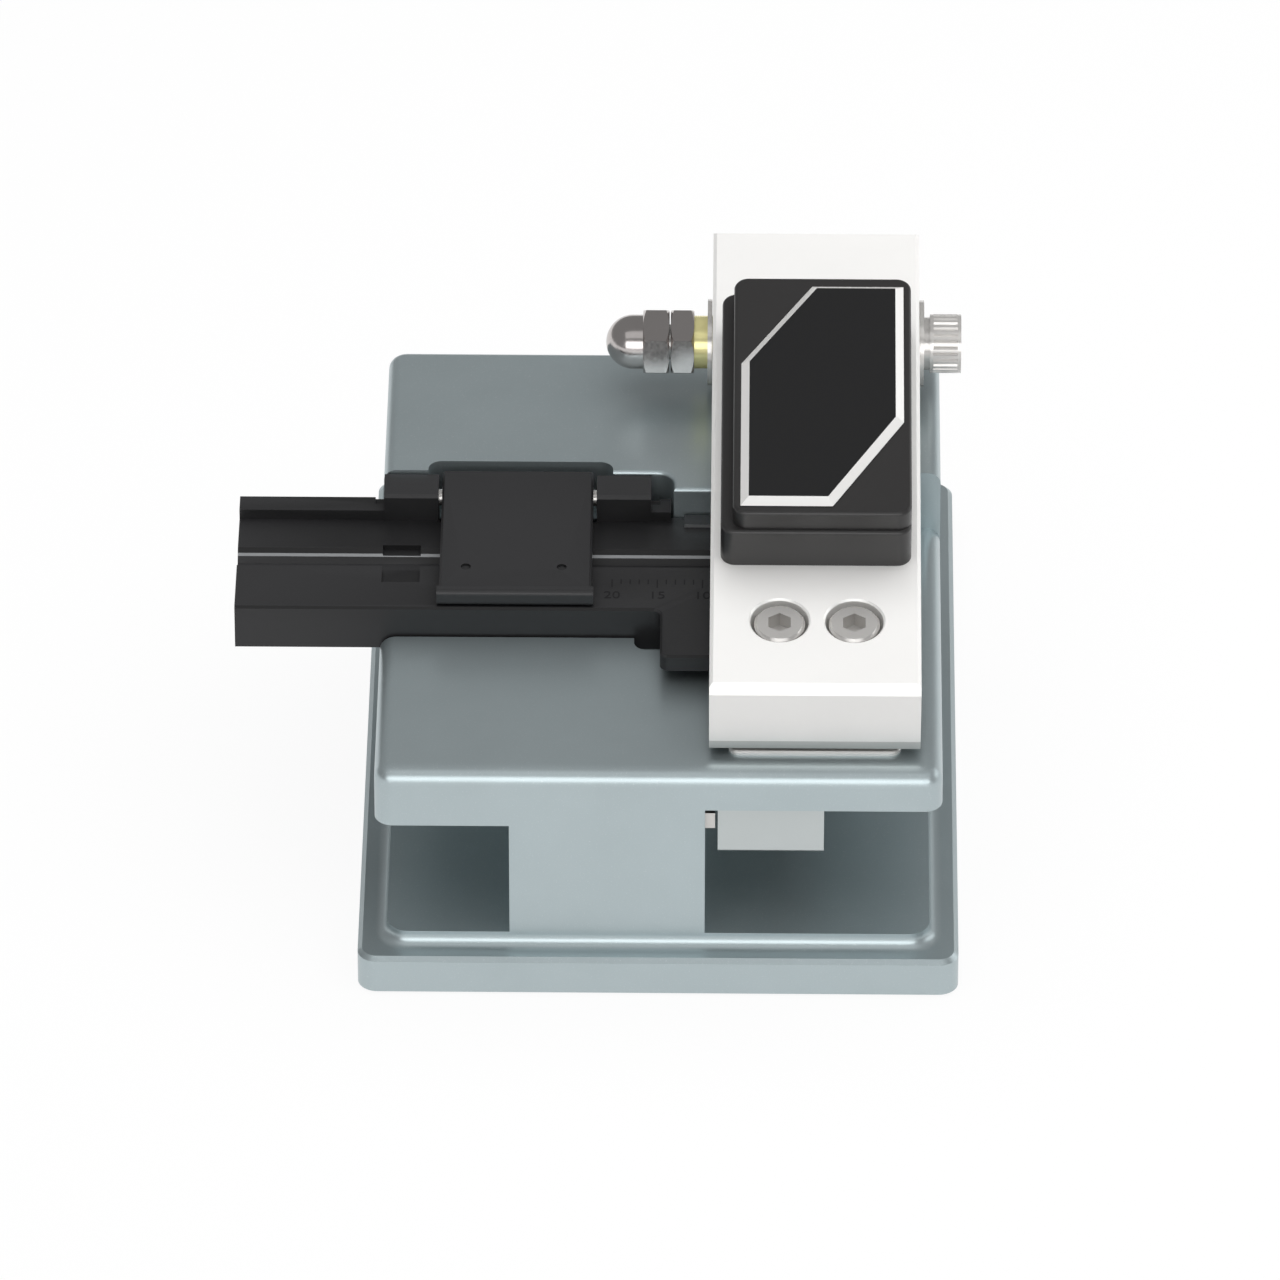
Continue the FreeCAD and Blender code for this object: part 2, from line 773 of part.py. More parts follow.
# ---------------------------------------------------------------- fibre guide

guide_screw_radius = size("guide_screw_radius", 1.25)
guide_screw_head = size("guide_screw_head", 2.25)
guide_screw_seat = size("guide_screw_seat", 3)
guide_screw_spacing = size("guide_screw_spacing", 8)
rest_width = size("rest_width", 8.8)
rest_depth = size("rest_depth", 15.7)
rest_screw_radius = size("rest_screw_radius", 1)
rest_screw_head = size("rest_screw_head", 1.9)
rest_screw_sink = size("rest_screw_sink", 2.2)
rest_screw_bite = size("rest_screw_bite", 2.2)
rest_screw_inset = size("rest_screw_inset", 2.5)
rest_screw_key = size("rest_screw_key", 1.5)
rest_edge = size("rest_edge", 0.4)
rest_left = blade_x + blade_thick / 2 + gap * 2
rest_screw_x = rest_left + rest_width - rest_screw_inset
rest_screw_y = boss_y - gap - rest_depth + rest_screw_inset
rail_screw_radius = size("rail_screw_radius", 0.7)
rail_screw_reach = size("rail_screw_reach", 4)
stop_seat = size("stop_seat", 2.6)
striker_screw_radius = size("striker_screw_radius", 1)
striker_screw_head = size("striker_screw_head", 1.8)
striker_screw_reach = size("striker_screw_reach", 3.5)
striker_screw_span = size("striker_screw_span", 13.5)
striker_y = front + striker_from_front


def guide_screw_places():
    middle = -side + (side + post_left) / 2
    return [middle - guide_screw_spacing / 2, middle + guide_screw_spacing / 2]


def rail_screw_places():
    step = (rail_back - rail_head_y) / RAIL_SCREWS
    return [rail_head_y + step * (i + 0.5) for i in range(RAIL_SCREWS)]


RAIL_SCREWS = 4


def striker_screw_places():
    half = striker_screw_span / 2
    y = striker_y + striker_length * 0.6
    return [(arm_mid - half, y), (arm_mid + half, y)]


def make_fibre_guide():
    body = new_body("fibre_guide")
    step_back = boss_y - gap
    bar = [
        (guide_left, guide_y),
        (guide_right, guide_y),
        (guide_right, step_back),
        (boss_left - gap, step_back),
        (boss_left - gap, guide_back),
        (guide_left, guide_back),
    ]
    pad(body, outline(flat(body, guide_low), bar), guide_thick)
    rail = rectangle(flat(body, bed), guide_left, boss_left - gap, guide_back - rail_depth, guide_back)
    pad(body, rail, rail_rise)
    for x in (left_ear, right_ear):
        ear = rectangle(flat(body, guide_low), x, x + ear_width, ear_front, ear_back)
        pad(body, ear, guide_thick + ear_height)
    tab_front = guide_y - tab_reach
    tab = rectangle(flat(body, bed - tab_thick), tab_left, guide_right, tab_front, guide_y + 1)
    pad(body, tab, tab_thick)
    round_edges(body, lambda p: near(p.x, tab_left) and near(p.y, tab_front), tab_corner)
    tab_under = bed.value - tab_thick.value - 1e-3
    round_edges(body, lambda p: near(p.x, tab_left) and near(p.y, guide_y) and p.z > tab_under, tab_corner)
    ledge = rectangle(flat(body, bed), ledge_left, guide_right, step_back - ledge_depth, step_back)
    pad(body, ledge, ledge_rise)

    cut_fibre_groove(body, guide_left, guide_right)

    # Cross recess beside the lid, relief for the lid's barrel, and the lower pad's seat.
    cross_y = guide_y + cross_front
    cross = rectangle(flat(body, bed + 1), left_ear, left_ear + cross_width, cross_y, cross_y + cross_length)
    pocket(body, cross, cross_depth + 1)
    barrel = rectangle(flat(body, bed + ear_height), lid_left - lid_side, right_ear, pin_y - lid_relief, wall_y)
    pocket(body, barrel, ear_height + lid_relief)
    seat = rectangle(
        flat(body, bed + 1), guide_right - pad_length - gap * 2, guide_right + 1,
        fibre_y - pad_width / 2 - gap, fibre_y + pad_width / 2 + gap,
    )
    pocket(body, seat, pad_seat + 1)
    pin_hole = disc(sideways(body, left_ear - 1), pin_y, pin_z, lid_pin_radius)
    pocket(body, pin_hole, right_ear + ear_width + 1 - (left_ear - 1), forward=True)
    pocket(body, disc(flat(body, bed), lid_mid, magnet_y, magnet_radius), magnet_depth)
    threads = flat(body, guide_low)
    for x in guide_screw_places():
        disc(threads, x, fibre_y, guide_screw_radius)
    pocket(body, threads, guide_screw_bite, forward=True)
    bevel_edges(body, lambda p: near(p.z, bed) and near(p.y, guide_y) and p.x < tab_left.value, guide_edge)
    bevel_edges(body, lambda p: near(p.z, bed + ear_height) and near(p.y, ear_front), ear_edge)


def cut_fibre_groove(body, left, right):
    """The groove that carries the fibre holder: upright front wall, sloping rear wall."""
    groove_y = front + groove_front
    floor = bed - groove_depth
    section = [
        (groove_y, floor),
        (groove_y + groove_width - groove_slope, floor),
        (groove_y + groove_width, bed),
        (groove_y + groove_width, bed + 1),
        (groove_y, bed + 1),
    ]
    pocket(body, outline(sideways(body, left - 1), section), right - left + 2, forward=True)


pad_seat = size("pad_seat", 2.3)
guide_screw_bite = size("guide_screw_bite", 3.2)
guide_screw_head_height = size("guide_screw_head_height", 2.5)
guide_screw_key = size("guide_screw_key", 2)


def make_guide_screws():
    reach = guide_low - left_wing_under - guide_screw_seat + guide_screw_bite
    z = left_wing_under + guide_screw_seat
    screws = [
        cap_screw(
            guide_screw_head, guide_screw_head_height, guide_screw_radius, reach, guide_screw_key,
            (x, fibre_y, z), "-z",
        )
        for x in guide_screw_places()
    ]
    group("guide_screws", screws)


def make_lid_magnet():
    group("lid_magnet", [cylinder(magnet_radius, magnet_depth, (lid_mid, magnet_y, bed - magnet_depth))])
    group("lid_steel_disc", [cylinder(magnet_radius, steel_disc_thick, (lid_mid, magnet_y, lid_low))])


def make_clamp_lid():
    """A flat flap that rises towards its hinge, with a rounded lip along its front for the finger."""
    body = new_body("clamp_lid")
    lid_front = guide_y + slide_gap
    tail = pin_y + lid_tail
    front_top = bed + lid_front_height
    section = [
        (lid_front, lid_low),
        (lid_front, front_top),
        (tail, bed + lid_rear_height),
        (tail, lid_low + lid_tail_rise),
        (pin_y, lid_low),
    ]
    pad(body, outline(sideways(body, lid_left), section), lid_width)
    bevel_edges(
        body,
        lambda p: near(p.x, lid_left, lid_right) and p.z > front_top.value - 1e-3 and p.y < tail.value + 1e-3,
        lid_edge,
    )
    lip_left = lid_left - lid_lip_proud
    lip_top = front_top + lid_lip_proud
    lip = rectangle(sideways(body, lip_left), lid_front, lid_front + lid_lip, lid_low, lip_top)
    pad(body, lip, lid_width + lid_lip_proud * 2)
    round_edges(body, lambda p: near(p.y, lid_front) and near(p.z, lip_top, lid_low), lid_lip / 2)
    pad(body, disc(sideways(body, lid_left), pin_y, pin_z, lid_barrel), lid_width)
    pocket(body, disc(sideways(body, lid_left), pin_y, pin_z, lid_pin_radius + run_fit), lid_width, forward=True)
    recess = rectangle(
        flat(body, lid_low), lid_left + lid_pad_inset, lid_right - lid_pad_inset,
        fibre_y - lid_pad_ahead, fibre_y + lid_pad_behind,
    )
    pocket(body, recess, lid_pad_sink, forward=True)
    holes = flat(body, lid_low)
    for x in lid_stud_places():
        disc(holes, x, lid_stud_y, lid_hole)
    pocket(body, holes, lid_rear_height + 1, forward=True)
    pocket(body, disc(flat(body, lid_low), lid_mid, magnet_y, magnet_radius), steel_disc_thick, forward=True)


lid_tail_rise = size("lid_tail_rise", 0.6)
lid_pad_inset = size("lid_pad_inset", 1.5)
lid_pad_sink = size("lid_pad_sink", 0.9)
lid_pad_ahead = size("lid_pad_ahead", 5.5)
lid_pad_behind = size("lid_pad_behind", 3)
lid_stud_ahead = size("lid_stud_ahead", 4.45)
lid_stud_inset = size("lid_stud_inset", 2.9)
lid_stud_span = size("lid_stud_span", 10.6)
lid_stud_rise = size("lid_stud_rise", 0.9)
lid_stud_y = fibre_y - lid_stud_ahead


def lid_stud_places():
    return [lid_left + lid_stud_inset, lid_left + lid_stud_inset + lid_stud_span]


def make_lid_pad():
    body = new_body("lid_pad")
    inset = lid_pad_inset + gap / 2
    strip = rectangle(
        flat(body, lid_low + gap), lid_left + inset, lid_right - inset,
        fibre_y - lid_pad_ahead + gap / 2, fibre_y + lid_pad_behind - gap / 2,
    )
    pad(body, strip, lid_pad_sink - gap)
    studs = flat(body, lid_low + lid_pad_sink)
    for x in lid_stud_places():
        disc(studs, x, lid_stud_y, lid_hole)
    pad(body, studs, lid_stud_rise)


def make_lid_hinge_pin():
    left = left_ear + gap
    length = right_ear + ear_width - gap - left
    group("lid_hinge_pin", [cylinder(lid_pin_radius, length, (left, pin_y, pin_z), "+x")])


# --------------------------------------------------- fibre rest and its pads

def make_fibre_rest():
    body = new_body("fibre_rest")
    back = boss_y - gap
    rest_front = back - rest_depth
    pad(body, rectangle(flat(body, guide_low), rest_left, rest_left + rest_width, rest_front, back), guide_thick)
    cut_fibre_groove(body, rest_left, rest_left + rest_width)
    seat = rectangle(
        flat(body, bed + 1), rest_left - 1, rest_left + pad_length + gap * 2,
        fibre_y - pad_width / 2 - gap, fibre_y + pad_width / 2 + gap,
    )
    pocket(body, seat, pad_seat + 1)
    pocket(body, disc(flat(body, bed), rest_screw_x, rest_screw_y, rest_screw_radius), guide_thick)
    sink = disc(flat(body, bed), rest_screw_x, rest_screw_y, rest_screw_head + run_fit)
    pocket(body, sink, rest_screw_sink)
    bevel_edges(body, lambda p: near(p.z, bed) and near(p.y, rest_front), rest_edge)


def make_rest_screw():
    reach = guide_thick - rest_screw_sink + rest_screw_bite
    screw = cap_screw(
        rest_screw_head, rest_screw_sink - gap / 2, rest_screw_radius, reach, rest_screw_key,
        (rest_screw_x, rest_screw_y, bed - rest_screw_sink), "+z",
    )
    group("rest_screw", [screw])


def lower_pad_places():
    return [guide_right - pad_length - gap, rest_left + gap]


def make_lower_clamp_pads():
    height = pad_seat - fibre_drop
    y = fibre_y - pad_width / 2
    pads = [block((x, y, bed - pad_seat), pad_length, pad_width, height) for x in lower_pad_places()]
    group("lower_clamp_pads", pads)


# ------------------------------------------------------------------ lever arm

def make_lever_arm():
    body = new_body("lever_arm")
    section = [
        (arm_front, arm_under),
        (arm_front, arm_top),
        (arm_behind, arm_top),
        (arm_behind, sheet_under),
        (0, sheet_under),
        (0, arm_under),
    ]
    pad(body, outline(sideways(body, arm_left), section), arm_width)
    pad(body, disc(sideways(body, arm_left), 0, 0, arm_lobe), arm_width)
    bevel_edges(body, lambda p: near(p.z, arm_top) and near(p.y, arm_front), arm_edge)
    bevel_edges(
        body,
        lambda p: near(p.z, arm_top) and (near(p.x, arm_left, arm_right) or near(p.y, arm_behind)),
        arm_side_edge,
    )
    pocket_front = arm_front + arm_nose
    fork = rectangle(flat(body, sheet_under), inner_left, inner_right, pocket_front, arm_behind + 1)
    pocket(body, fork, arm_lobe + arm_top)
    pocket(body, disc(sideways(body, arm_left), 0, 0, sleeve_radius + run_fit), arm_width, forward=True)

    # Counterbored holes of the nose screws.
    bores = flat(body, arm_top)
    throats = flat(body, arm_top)
    for x in nose_screw_places():
        disc(bores, x, nose_screw_y, nose_bore_radius)
        disc(throats, x, nose_screw_y, nose_screw_radius + gap / 3)
    pocket(body, bores, nose_bore_depth)
    pocket(body, throats, arm_thick)
    mouth_low = nose_screw_y.value - nose_bore_radius.value - 1e-3
    mouth_high = nose_screw_y.value + nose_bore_radius.value + 1e-3
    bevel_edges(body, lambda p: near(p.z, arm_top) and mouth_low < p.y < mouth_high, nose_bore_edge)

    # Holes in the sheet for the cover's screws, the clamp's pins and the anvil's screw.
    holes = flat(body, arm_top)
    for y in cover_screw_places():
        disc(holes, arm_mid, y, cover_screw_radius + gap / 3)
    for x in clamp_pin_places():
        disc(holes, x, fibre_local_y, clamp_pin_radius + run_fit * 1.5)
    disc(holes, blade_x, fibre_local_y, anvil_screw_radius + gap / 3)
    pocket(body, holes, arm_sheet)


nose_screw_radius = size("nose_screw_radius", 1.5)
nose_screw_head = size("nose_screw_head", 2.8)
nose_screw_head_height = size("nose_screw_head_height", 3)
nose_bore_radius = size("nose_bore_radius", 3.2)
nose_bore_depth = size("nose_bore_depth", 3.3)
nose_bore_edge = size("nose_bore_edge", 0.2)
nose_screw_key = size("nose_screw_key", 2.45)
nose_screw_shift = size("nose_screw_shift", 0.16)
cover_screw_radius = size("cover_screw_radius", 1)
cover_screw_head = size("cover_screw_head", 1.8)
cover_screw_head_height = size("cover_screw_head_height", 1.3)
cover_screw_inset = size("cover_screw_inset", 5.6)
small_key = size("small_key", 1.3)
anvil_screw_radius = size("anvil_screw_radius", 0.8)
nose_screw_y = arm_front + nose_screw_inset
nose_screw_mid = arm_mid + nose_screw_shift


def nose_screw_places():
    return [nose_screw_mid - nose_screw_spacing / 2, nose_screw_mid + nose_screw_spacing / 2]


def cover_screw_places():
    cover_y = arm_front + cover_front
    return [cover_y + cover_screw_inset, cover_y + cover_length - cover_screw_inset]


def clamp_pin_places():
    return [blade_x - clamp_pin_offset, blade_x + clamp_pin_offset]


def make_nose_plate():
    body = new_body("nose_plate")
    end = arm_front + nose_plate_length
    pad(body, rectangle(flat(body, nose_low), arm_left, arm_right, arm_front, end), nose_plate_thick)
    holes = flat(body, arm_under)
    for x in nose_screw_places():
        disc(holes, x, nose_screw_y, nose_screw_radius)
    disc(holes, nose_screw_mid, nose_screw_y, nose_magnet_radius)
    pocket(body, holes, nose_plate_thick)
    bevel_edges(body, lambda p: near(p.z, nose_low) and near(p.y, arm_front), nose_plate_edge)
    tilt_with_arm(body)


nose_magnet_radius = size("nose_magnet_radius", 1.9)
nose_magnet_sink = size("nose_magnet_sink", 0.1)


def make_nose_screws():
    seat = arm_top - nose_bore_depth
    reach = seat - nose_low - nose_magnet_sink * 2
    screws = [
        cap_screw(
            nose_screw_head, nose_screw_head_height, nose_screw_radius, reach, nose_screw_key,
            (x, nose_screw_y, seat), "+z",
        )
        for x in nose_screw_places()
    ]
    tilt_with_arm(group("nose_screws", screws))


def make_closing_magnet():
    low = nose_low + nose_magnet_sink
    magnet = cylinder(nose_magnet_radius, arm_under - low, (nose_screw_mid, nose_screw_y, low))
    tilt_with_arm(group("closing_magnet", [magnet]))


def make_striker_plate():
    """Thin steel plate under the arm's nose, where the closing magnet lands."""
    body = new_body("striker_plate")
    half = striker_width / 2
    back = striker_y + striker_length
    shape = rounded_rectangle(flat(body, deck_top), arm_mid - half, arm_mid + half, striker_y, back, striker_corner)
    pad(body, shape, striker_thick)
    bevel_edges(body, lambda p: near(p.z, striker_top), striker_edge)
    holes = flat(body, striker_top)
    for x, y in striker_screw_places():
        disc(holes, x, y, striker_screw_head)
    pocket(body, holes, striker_thick)


def make_striker_screws():
    screws = []
    for x, y in striker_screw_places():
        head = cylinder(striker_screw_head, striker_thick, (x, y, deck_top))
        shank = cylinder(striker_screw_radius, striker_screw_reach, (x, y, deck_top - striker_screw_reach))
        socket = hexagon(small_key, striker_thick * 2, (x, y, striker_top - striker_thick * 2))
        screws.append(cut(fuse(head, shank), socket))
    group("striker_screws", screws)


# ---------------------------------------------------------------- arm's cover

def make_arm_cover():
    body = new_body("arm_cover")
    left = cover_left
    right = cover_left + cover_width
    low_y = arm_front + cover_front
    high_y = low_y + cover_length
    step = arm_top + cover_step_height
    top = arm_top + cover_height
    upper_left = left + cover_ledge_left
    upper_front = low_y + cover_ledge_front

    lower = rounded_rectangle(flat(body, arm_top), left, right, low_y, high_y, cover_corner)
    pad(body, lower, cover_step_height)
    round_edges(body, lambda p: near(p.z, step), cover_round)
    upper = rounded_rectangle(flat(body, arm_top), upper_left, right, upper_front, high_y, cover_corner)
    pad(body, upper, cover_height)
    round_edges(body, lambda p: near(p.z, top), cover_round)

    cavity = rectangle(
        flat(body, arm_top), upper_left + cover_wall, right - cover_wall,
        upper_front + cover_wall, high_y - cover_wall,
    )
    pocket(body, cavity, cover_height - cover_wall, forward=True)
    posts = flat(body, arm_top)
    bores = flat(body, arm_top)
    for y in cover_screw_places():
        disc(posts, arm_mid, y, cover_screw_radius + cover_wall)
        disc(bores, arm_mid, y, cover_screw_radius)
    pad(body, posts, cover_height - cover_wall / 2)
    pocket(body, bores, cover_screw_bite, forward=True)
    tilt_with_arm(body)


cover_screw_bite = size("cover_screw_bite", 4)


def make_cover_plate():
    body = new_body("cover_plate")
    low_y = arm_front + cover_front + cover_ledge_front
    high_y = arm_front + cover_front + cover_length
    left = cover_left + cover_ledge_left + badge_margin
    right = cover_left + cover_width - badge_margin
    back = high_y - badge_back_margin
    near_edge = low_y + badge_front_margin
    shape = [
        (left, near_edge),
        (right - badge_cut, near_edge),
        (right, near_edge + badge_cut_front),
        (right, back),
        (left + badge_cut, back),
        (left, back - badge_cut_back),
    ]
    top = arm_top + cover_height
    pad(body, outline(flat(body, top), shape), badge_thick)
    feature = bevel_edges(body, lambda p: near(p.z, top + badge_thick), badge_bevel)
    feature.ChamferType = "Two distances"
    bind(feature, "Size2", badge_bevel_width)
    doc.recompute()
    tilt_with_arm(body)


badge_margin = size("badge_margin", 0.85)
badge_front_margin = size("badge_front_margin", 1.02)
badge_back_margin = size("badge_back_margin", 1.6)
badge_cut = size("badge_cut", 7.8)
badge_cut_front = size("badge_cut_front", 13.1)
badge_cut_back = size("badge_cut_back", 12.3)


def make_cover_screws():
    reach = arm_sheet + cover_screw_bite - gap
    screws = [
        cap_screw(
            cover_screw_head, cover_screw_head_height, cover_screw_radius, reach, small_key,
            (arm_mid, y, sheet_under), "-z",
        )
        for y in cover_screw_places()
    ]
    tilt_with_arm(group("cover_screws", screws))


# ---------------------------------------------------------- clamp and anvil

clamp_lift = size("clamp_lift", 0.85)
clamp_edge = size("clamp_edge", 0.3)
clamp_low = local_z_at(bed, fibre_local_y) + clamp_lift
clamp_top = clamp_low + clamp_height


def make_clamp_block():
    body = new_body("clamp_block")
    left = blade_x - clamp_half_width
    right = blade_x + clamp_half_width
    low_y = fibre_local_y - clamp_half_depth
    high_y = fibre_local_y + clamp_half_depth
    pad(body, rectangle(flat(body, clamp_low), left, right, low_y, high_y), clamp_height)
    half_slot = anvil_thick / 2 + gap
    window = rectangle(
        flat(body, clamp_top), blade_x - half_slot, blade_x + half_slot,
        fibre_local_y - anvil_depth / 2 - gap, fibre_local_y + anvil_depth / 2 + gap,
    )
    pocket(body, window, clamp_height)
    seats = flat(body, clamp_low)
    for x in upper_pad_places():
        rectangle(seats, x, x + pad_length, fibre_local_y - pad_length / 2, fibre_local_y + pad_length / 2)
    pocket(body, seats, clamp_pad_sink, forward=True)
    bores = flat(body, clamp_top)
    for x in clamp_pin_places():
        disc(bores, x, fibre_local_y, clamp_pin_radius)
    pocket(body, bores, clamp_pin_bite)
    bevel_edges(body, lambda p: near(p.z, clamp_low) and near(p.y, low_y, high_y), clamp_edge)
    tilt_with_arm(body)


clamp_pad_sink = size("clamp_pad_sink", 0.6)
clamp_pin_bite = size("clamp_pin_bite", 2.4)
clamp_pin_head = size("clamp_pin_head", 1.2)
clamp_pin_head_height = size("clamp_pin_head_height", 0.6)


def upper_pad_places():
    return lower_pad_places()


def slanted_section(sketch, level, top, half):
    """Section through a piece whose underside is level when the arm is closed."""
    a = fibre_local_y - half
    b = fibre_local_y + half
    return outline(sketch, [(a, local_z_at(level, a)), (b, local_z_at(level, b)), (b, top), (a, top)])


def make_upper_clamp_pads():
    pads = []
    for x in upper_pad_places():
        body = doc.addObject("PartDesign::Body", "upper_pad")
        section = slanted_section(sideways(body, x), fibre_z + gap, clamp_low + clamp_pad_sink, pad_length / 2)
        pad(body, section, pad_length)
        pads.append(body)
    tilt_with_arm(group("upper_clamp_pads", pads))


def make_clamp_pins():
    pins = []
    bottom = clamp_top - clamp_pin_bite
    head_z = arm_top + slide_gap
    for x in clamp_pin_places():
        stem = cylinder(clamp_pin_radius, head_z - bottom, (x, fibre_local_y, bottom))
        head = cylinder(clamp_pin_head, clamp_pin_head_height, (x, fibre_local_y, head_z))
        pins.append(fuse(stem, head))
    tilt_with_arm(group("clamp_pins", pins))


def make_clamp_springs():
    """Helical compression springs round the pins, with open ends and a six-sided wire."""
    length = sheet_under - clamp_top - spring_wire * 2 - run_fit
    springs = []
    for x in clamp_pin_places():
        path = doc.addObject("Part::Helix", "coil_path")
        bind(path, "Radius", spring_radius)
        bind(path, "Height", length)
        bind(path, "Pitch", length / spring_turns)
        path.SegmentLength = 1
        wire = doc.addObject("Part::RegularPolygon", "wire_section")
        wire.Polygon = 6
        bind(wire, "Circumradius", spring_wire)
        wire.Placement = Placement(Vector(0, 0, 0), Rotation(Vector(1, 0, 0), 90))
        bind(wire, "Placement.Base.x", spring_radius)
        coil = doc.addObject("Part::Sweep", "coil")
        coil.Sections = [wire]
        coil.Spine = (path, [])
        coil.Solid = True
        coil.Frenet = True
        springs.append(put(coil, (x, fibre_local_y, clamp_top + spring_wire + run_fit / 2)))
    tilt_with_arm(group("clamp_springs", springs))


spring_turns = size("spring_turns", 4)


def make_anvil():
    body = new_body("anvil")
    upright = sideways(body, blade_x - anvil_thick / 2)
    section = slanted_section(upright, fibre_z + gap * 2, sheet_under, anvil_depth / 2)
    pad(body, section, anvil_thick)
    pocket(body, disc(flat(body, sheet_under), blade_x, fibre_local_y, anvil_screw_radius), anvil_screw_bite)
    tilt_with_arm(body)


anvil_screw_bite = size("anvil_screw_bite", 4)
anvil_screw_head = size("anvil_screw_head", 1.5)
anvil_screw_head_height = size("anvil_screw_head_height", 1.5)


def make_anvil_screw():
    screw = cap_screw(
        anvil_screw_head, anvil_screw_head_height, anvil_screw_radius, arm_sheet + anvil_screw_bite - gap, small_key,
        (blade_x, fibre_local_y, arm_top), "+z",
    )
    tilt_with_arm(group("anvil_screw", [screw]))


# ----------------------------------------------------------------- pivot set

side_play = size("side_play", 0.08)
disc_left = arm_left - side_play - disc_thick
sleeve_left = disc_left - sleeve_out
lock_nut_left = sleeve_left - lock_nut_height
cap_nut_left = lock_nut_left - cap_nut_height - nut_gap
disc_right = arm_right + side_play
sleeve_right = disc_right + disc_thick


def along_pivot(x):
    return (x, pivot_y, pivot_z)


def make_pivot_sleeve():
    length = sleeve_right - sleeve_left
    outer = cylinder(sleeve_radius, length, along_pivot(sleeve_left), "+x")
    bore = cylinder(bolt_radius, length, along_pivot(sleeve_left), "+x")
    group("pivot_sleeve", [cut(outer, bore)])


def make_pivot_washers():
    washers = []
    for x in (disc_left, disc_right):
        outer = cylinder(disc_radius, disc_thick, along_pivot(x), "+x")
        bore = cylinder(sleeve_radius, disc_thick, along_pivot(x), "+x")
        washers.append(cut(outer, bore))
    group("pivot_washers", washers)


def make_bolt_washer():
    outer = cylinder(sleeve_radius, bolt_washer_thick, along_pivot(sleeve_right), "+x")
    bore = cylinder(bolt_radius, bolt_washer_thick, along_pivot(sleeve_right), "+x")
    group("bolt_washer", [cut(outer, bore)])


def make_pivot_bolt():
    """Socket cap screw whose head has knurling round it."""
    seat = sleeve_right + bolt_washer_thick
    reach = seat - cap_nut_left - nut_bevel * 2
    head = cylinder(bolt_head_radius, bolt_head_height, along_pivot(seat), "+x")
    shank = cylinder(bolt_radius, reach, along_pivot(seat - reach), "+x")
    socket_depth = bolt_head_height * SOCKET_SHARE
    socket = hexagon(bolt_key, socket_depth, along_pivot(seat + bolt_head_height - socket_depth), "+x")
    length = bolt_head_height - knurl_inset * 2
    notches = []
    for i in range(KNURLS):
        degrees = 360 / KNURLS * i
        turn = math.radians(degrees)
        y = pivot_y + bolt_head_radius * math.cos(turn)
        z = pivot_z + bolt_head_radius * math.sin(turn)
        notches.append(square_bar(knurl_depth, length, (seat + knurl_inset, y, z), "+x", degrees))
    group("pivot_bolt", [cut(fuse(head, shank), socket, *notches)])


KNURLS = 28
bolt_key = size("bolt_key", 3)
knurl_depth = size("knurl_depth", 0.2)
knurl_inset = size("knurl_inset", 0.4)


NUT_TURN = 24.3
NUT_CONE = 1.6


def chamfered_hexagon(length, at):
    """A nut's body: a hexagon, turned so, whose corners are taken off by a cone at both ends."""
    corner = nut_flats / math.sqrt(3)
    body = hexagon(nut_flats, length, at, "+x", NUT_TURN + 30)
    x, y, z = at
    near_cone = cone(corner - nut_bevel * NUT_CONE, corner, nut_bevel, at, "+x")
    turned = cylinder(corner, length - nut_bevel * 2, (x + nut_bevel, y, z), "+x")
    far_cone = cone(corner, corner - nut_bevel * NUT_CONE, nut_bevel, (x + length - nut_bevel, y, z), "+x")
    return common(body, fuse(near_cone, turned, far_cone))


def make_pivot_lock_nut():
    at = along_pivot(lock_nut_left)
    bore = cylinder(bolt_radius, lock_nut_height, at, "+x")
    group("pivot_lock_nut", [cut(chamfered_hexagon(lock_nut_height, at), bore)])


def make_pivot_cap_nut():
    """Domed nut: a hexagon with a neck that ends in half a ball, over a blind bore."""
    x, y, z = along_pivot(cap_nut_left)
    neck_length = dome_height - dome_radius
    neck = cylinder(dome_radius, neck_length + nut_bevel, (x - neck_length, y, z), "+x")
    dome = doc.addObject("Part::Sphere", "dome")
    bind(dome, "Radius", dome_radius)
    put(dome, (x - neck_length, y, z))
    bore = cylinder(bolt_radius, cap_nut_height + neck_length, (x - neck_length, y, z), "+x")
    body = fuse(chamfered_hexagon(cap_nut_height, (x, y, z)), neck, dome)
    group("pivot_cap_nut", [cut(body, bore)])


# ------------------------------------------------------------ blade carriage

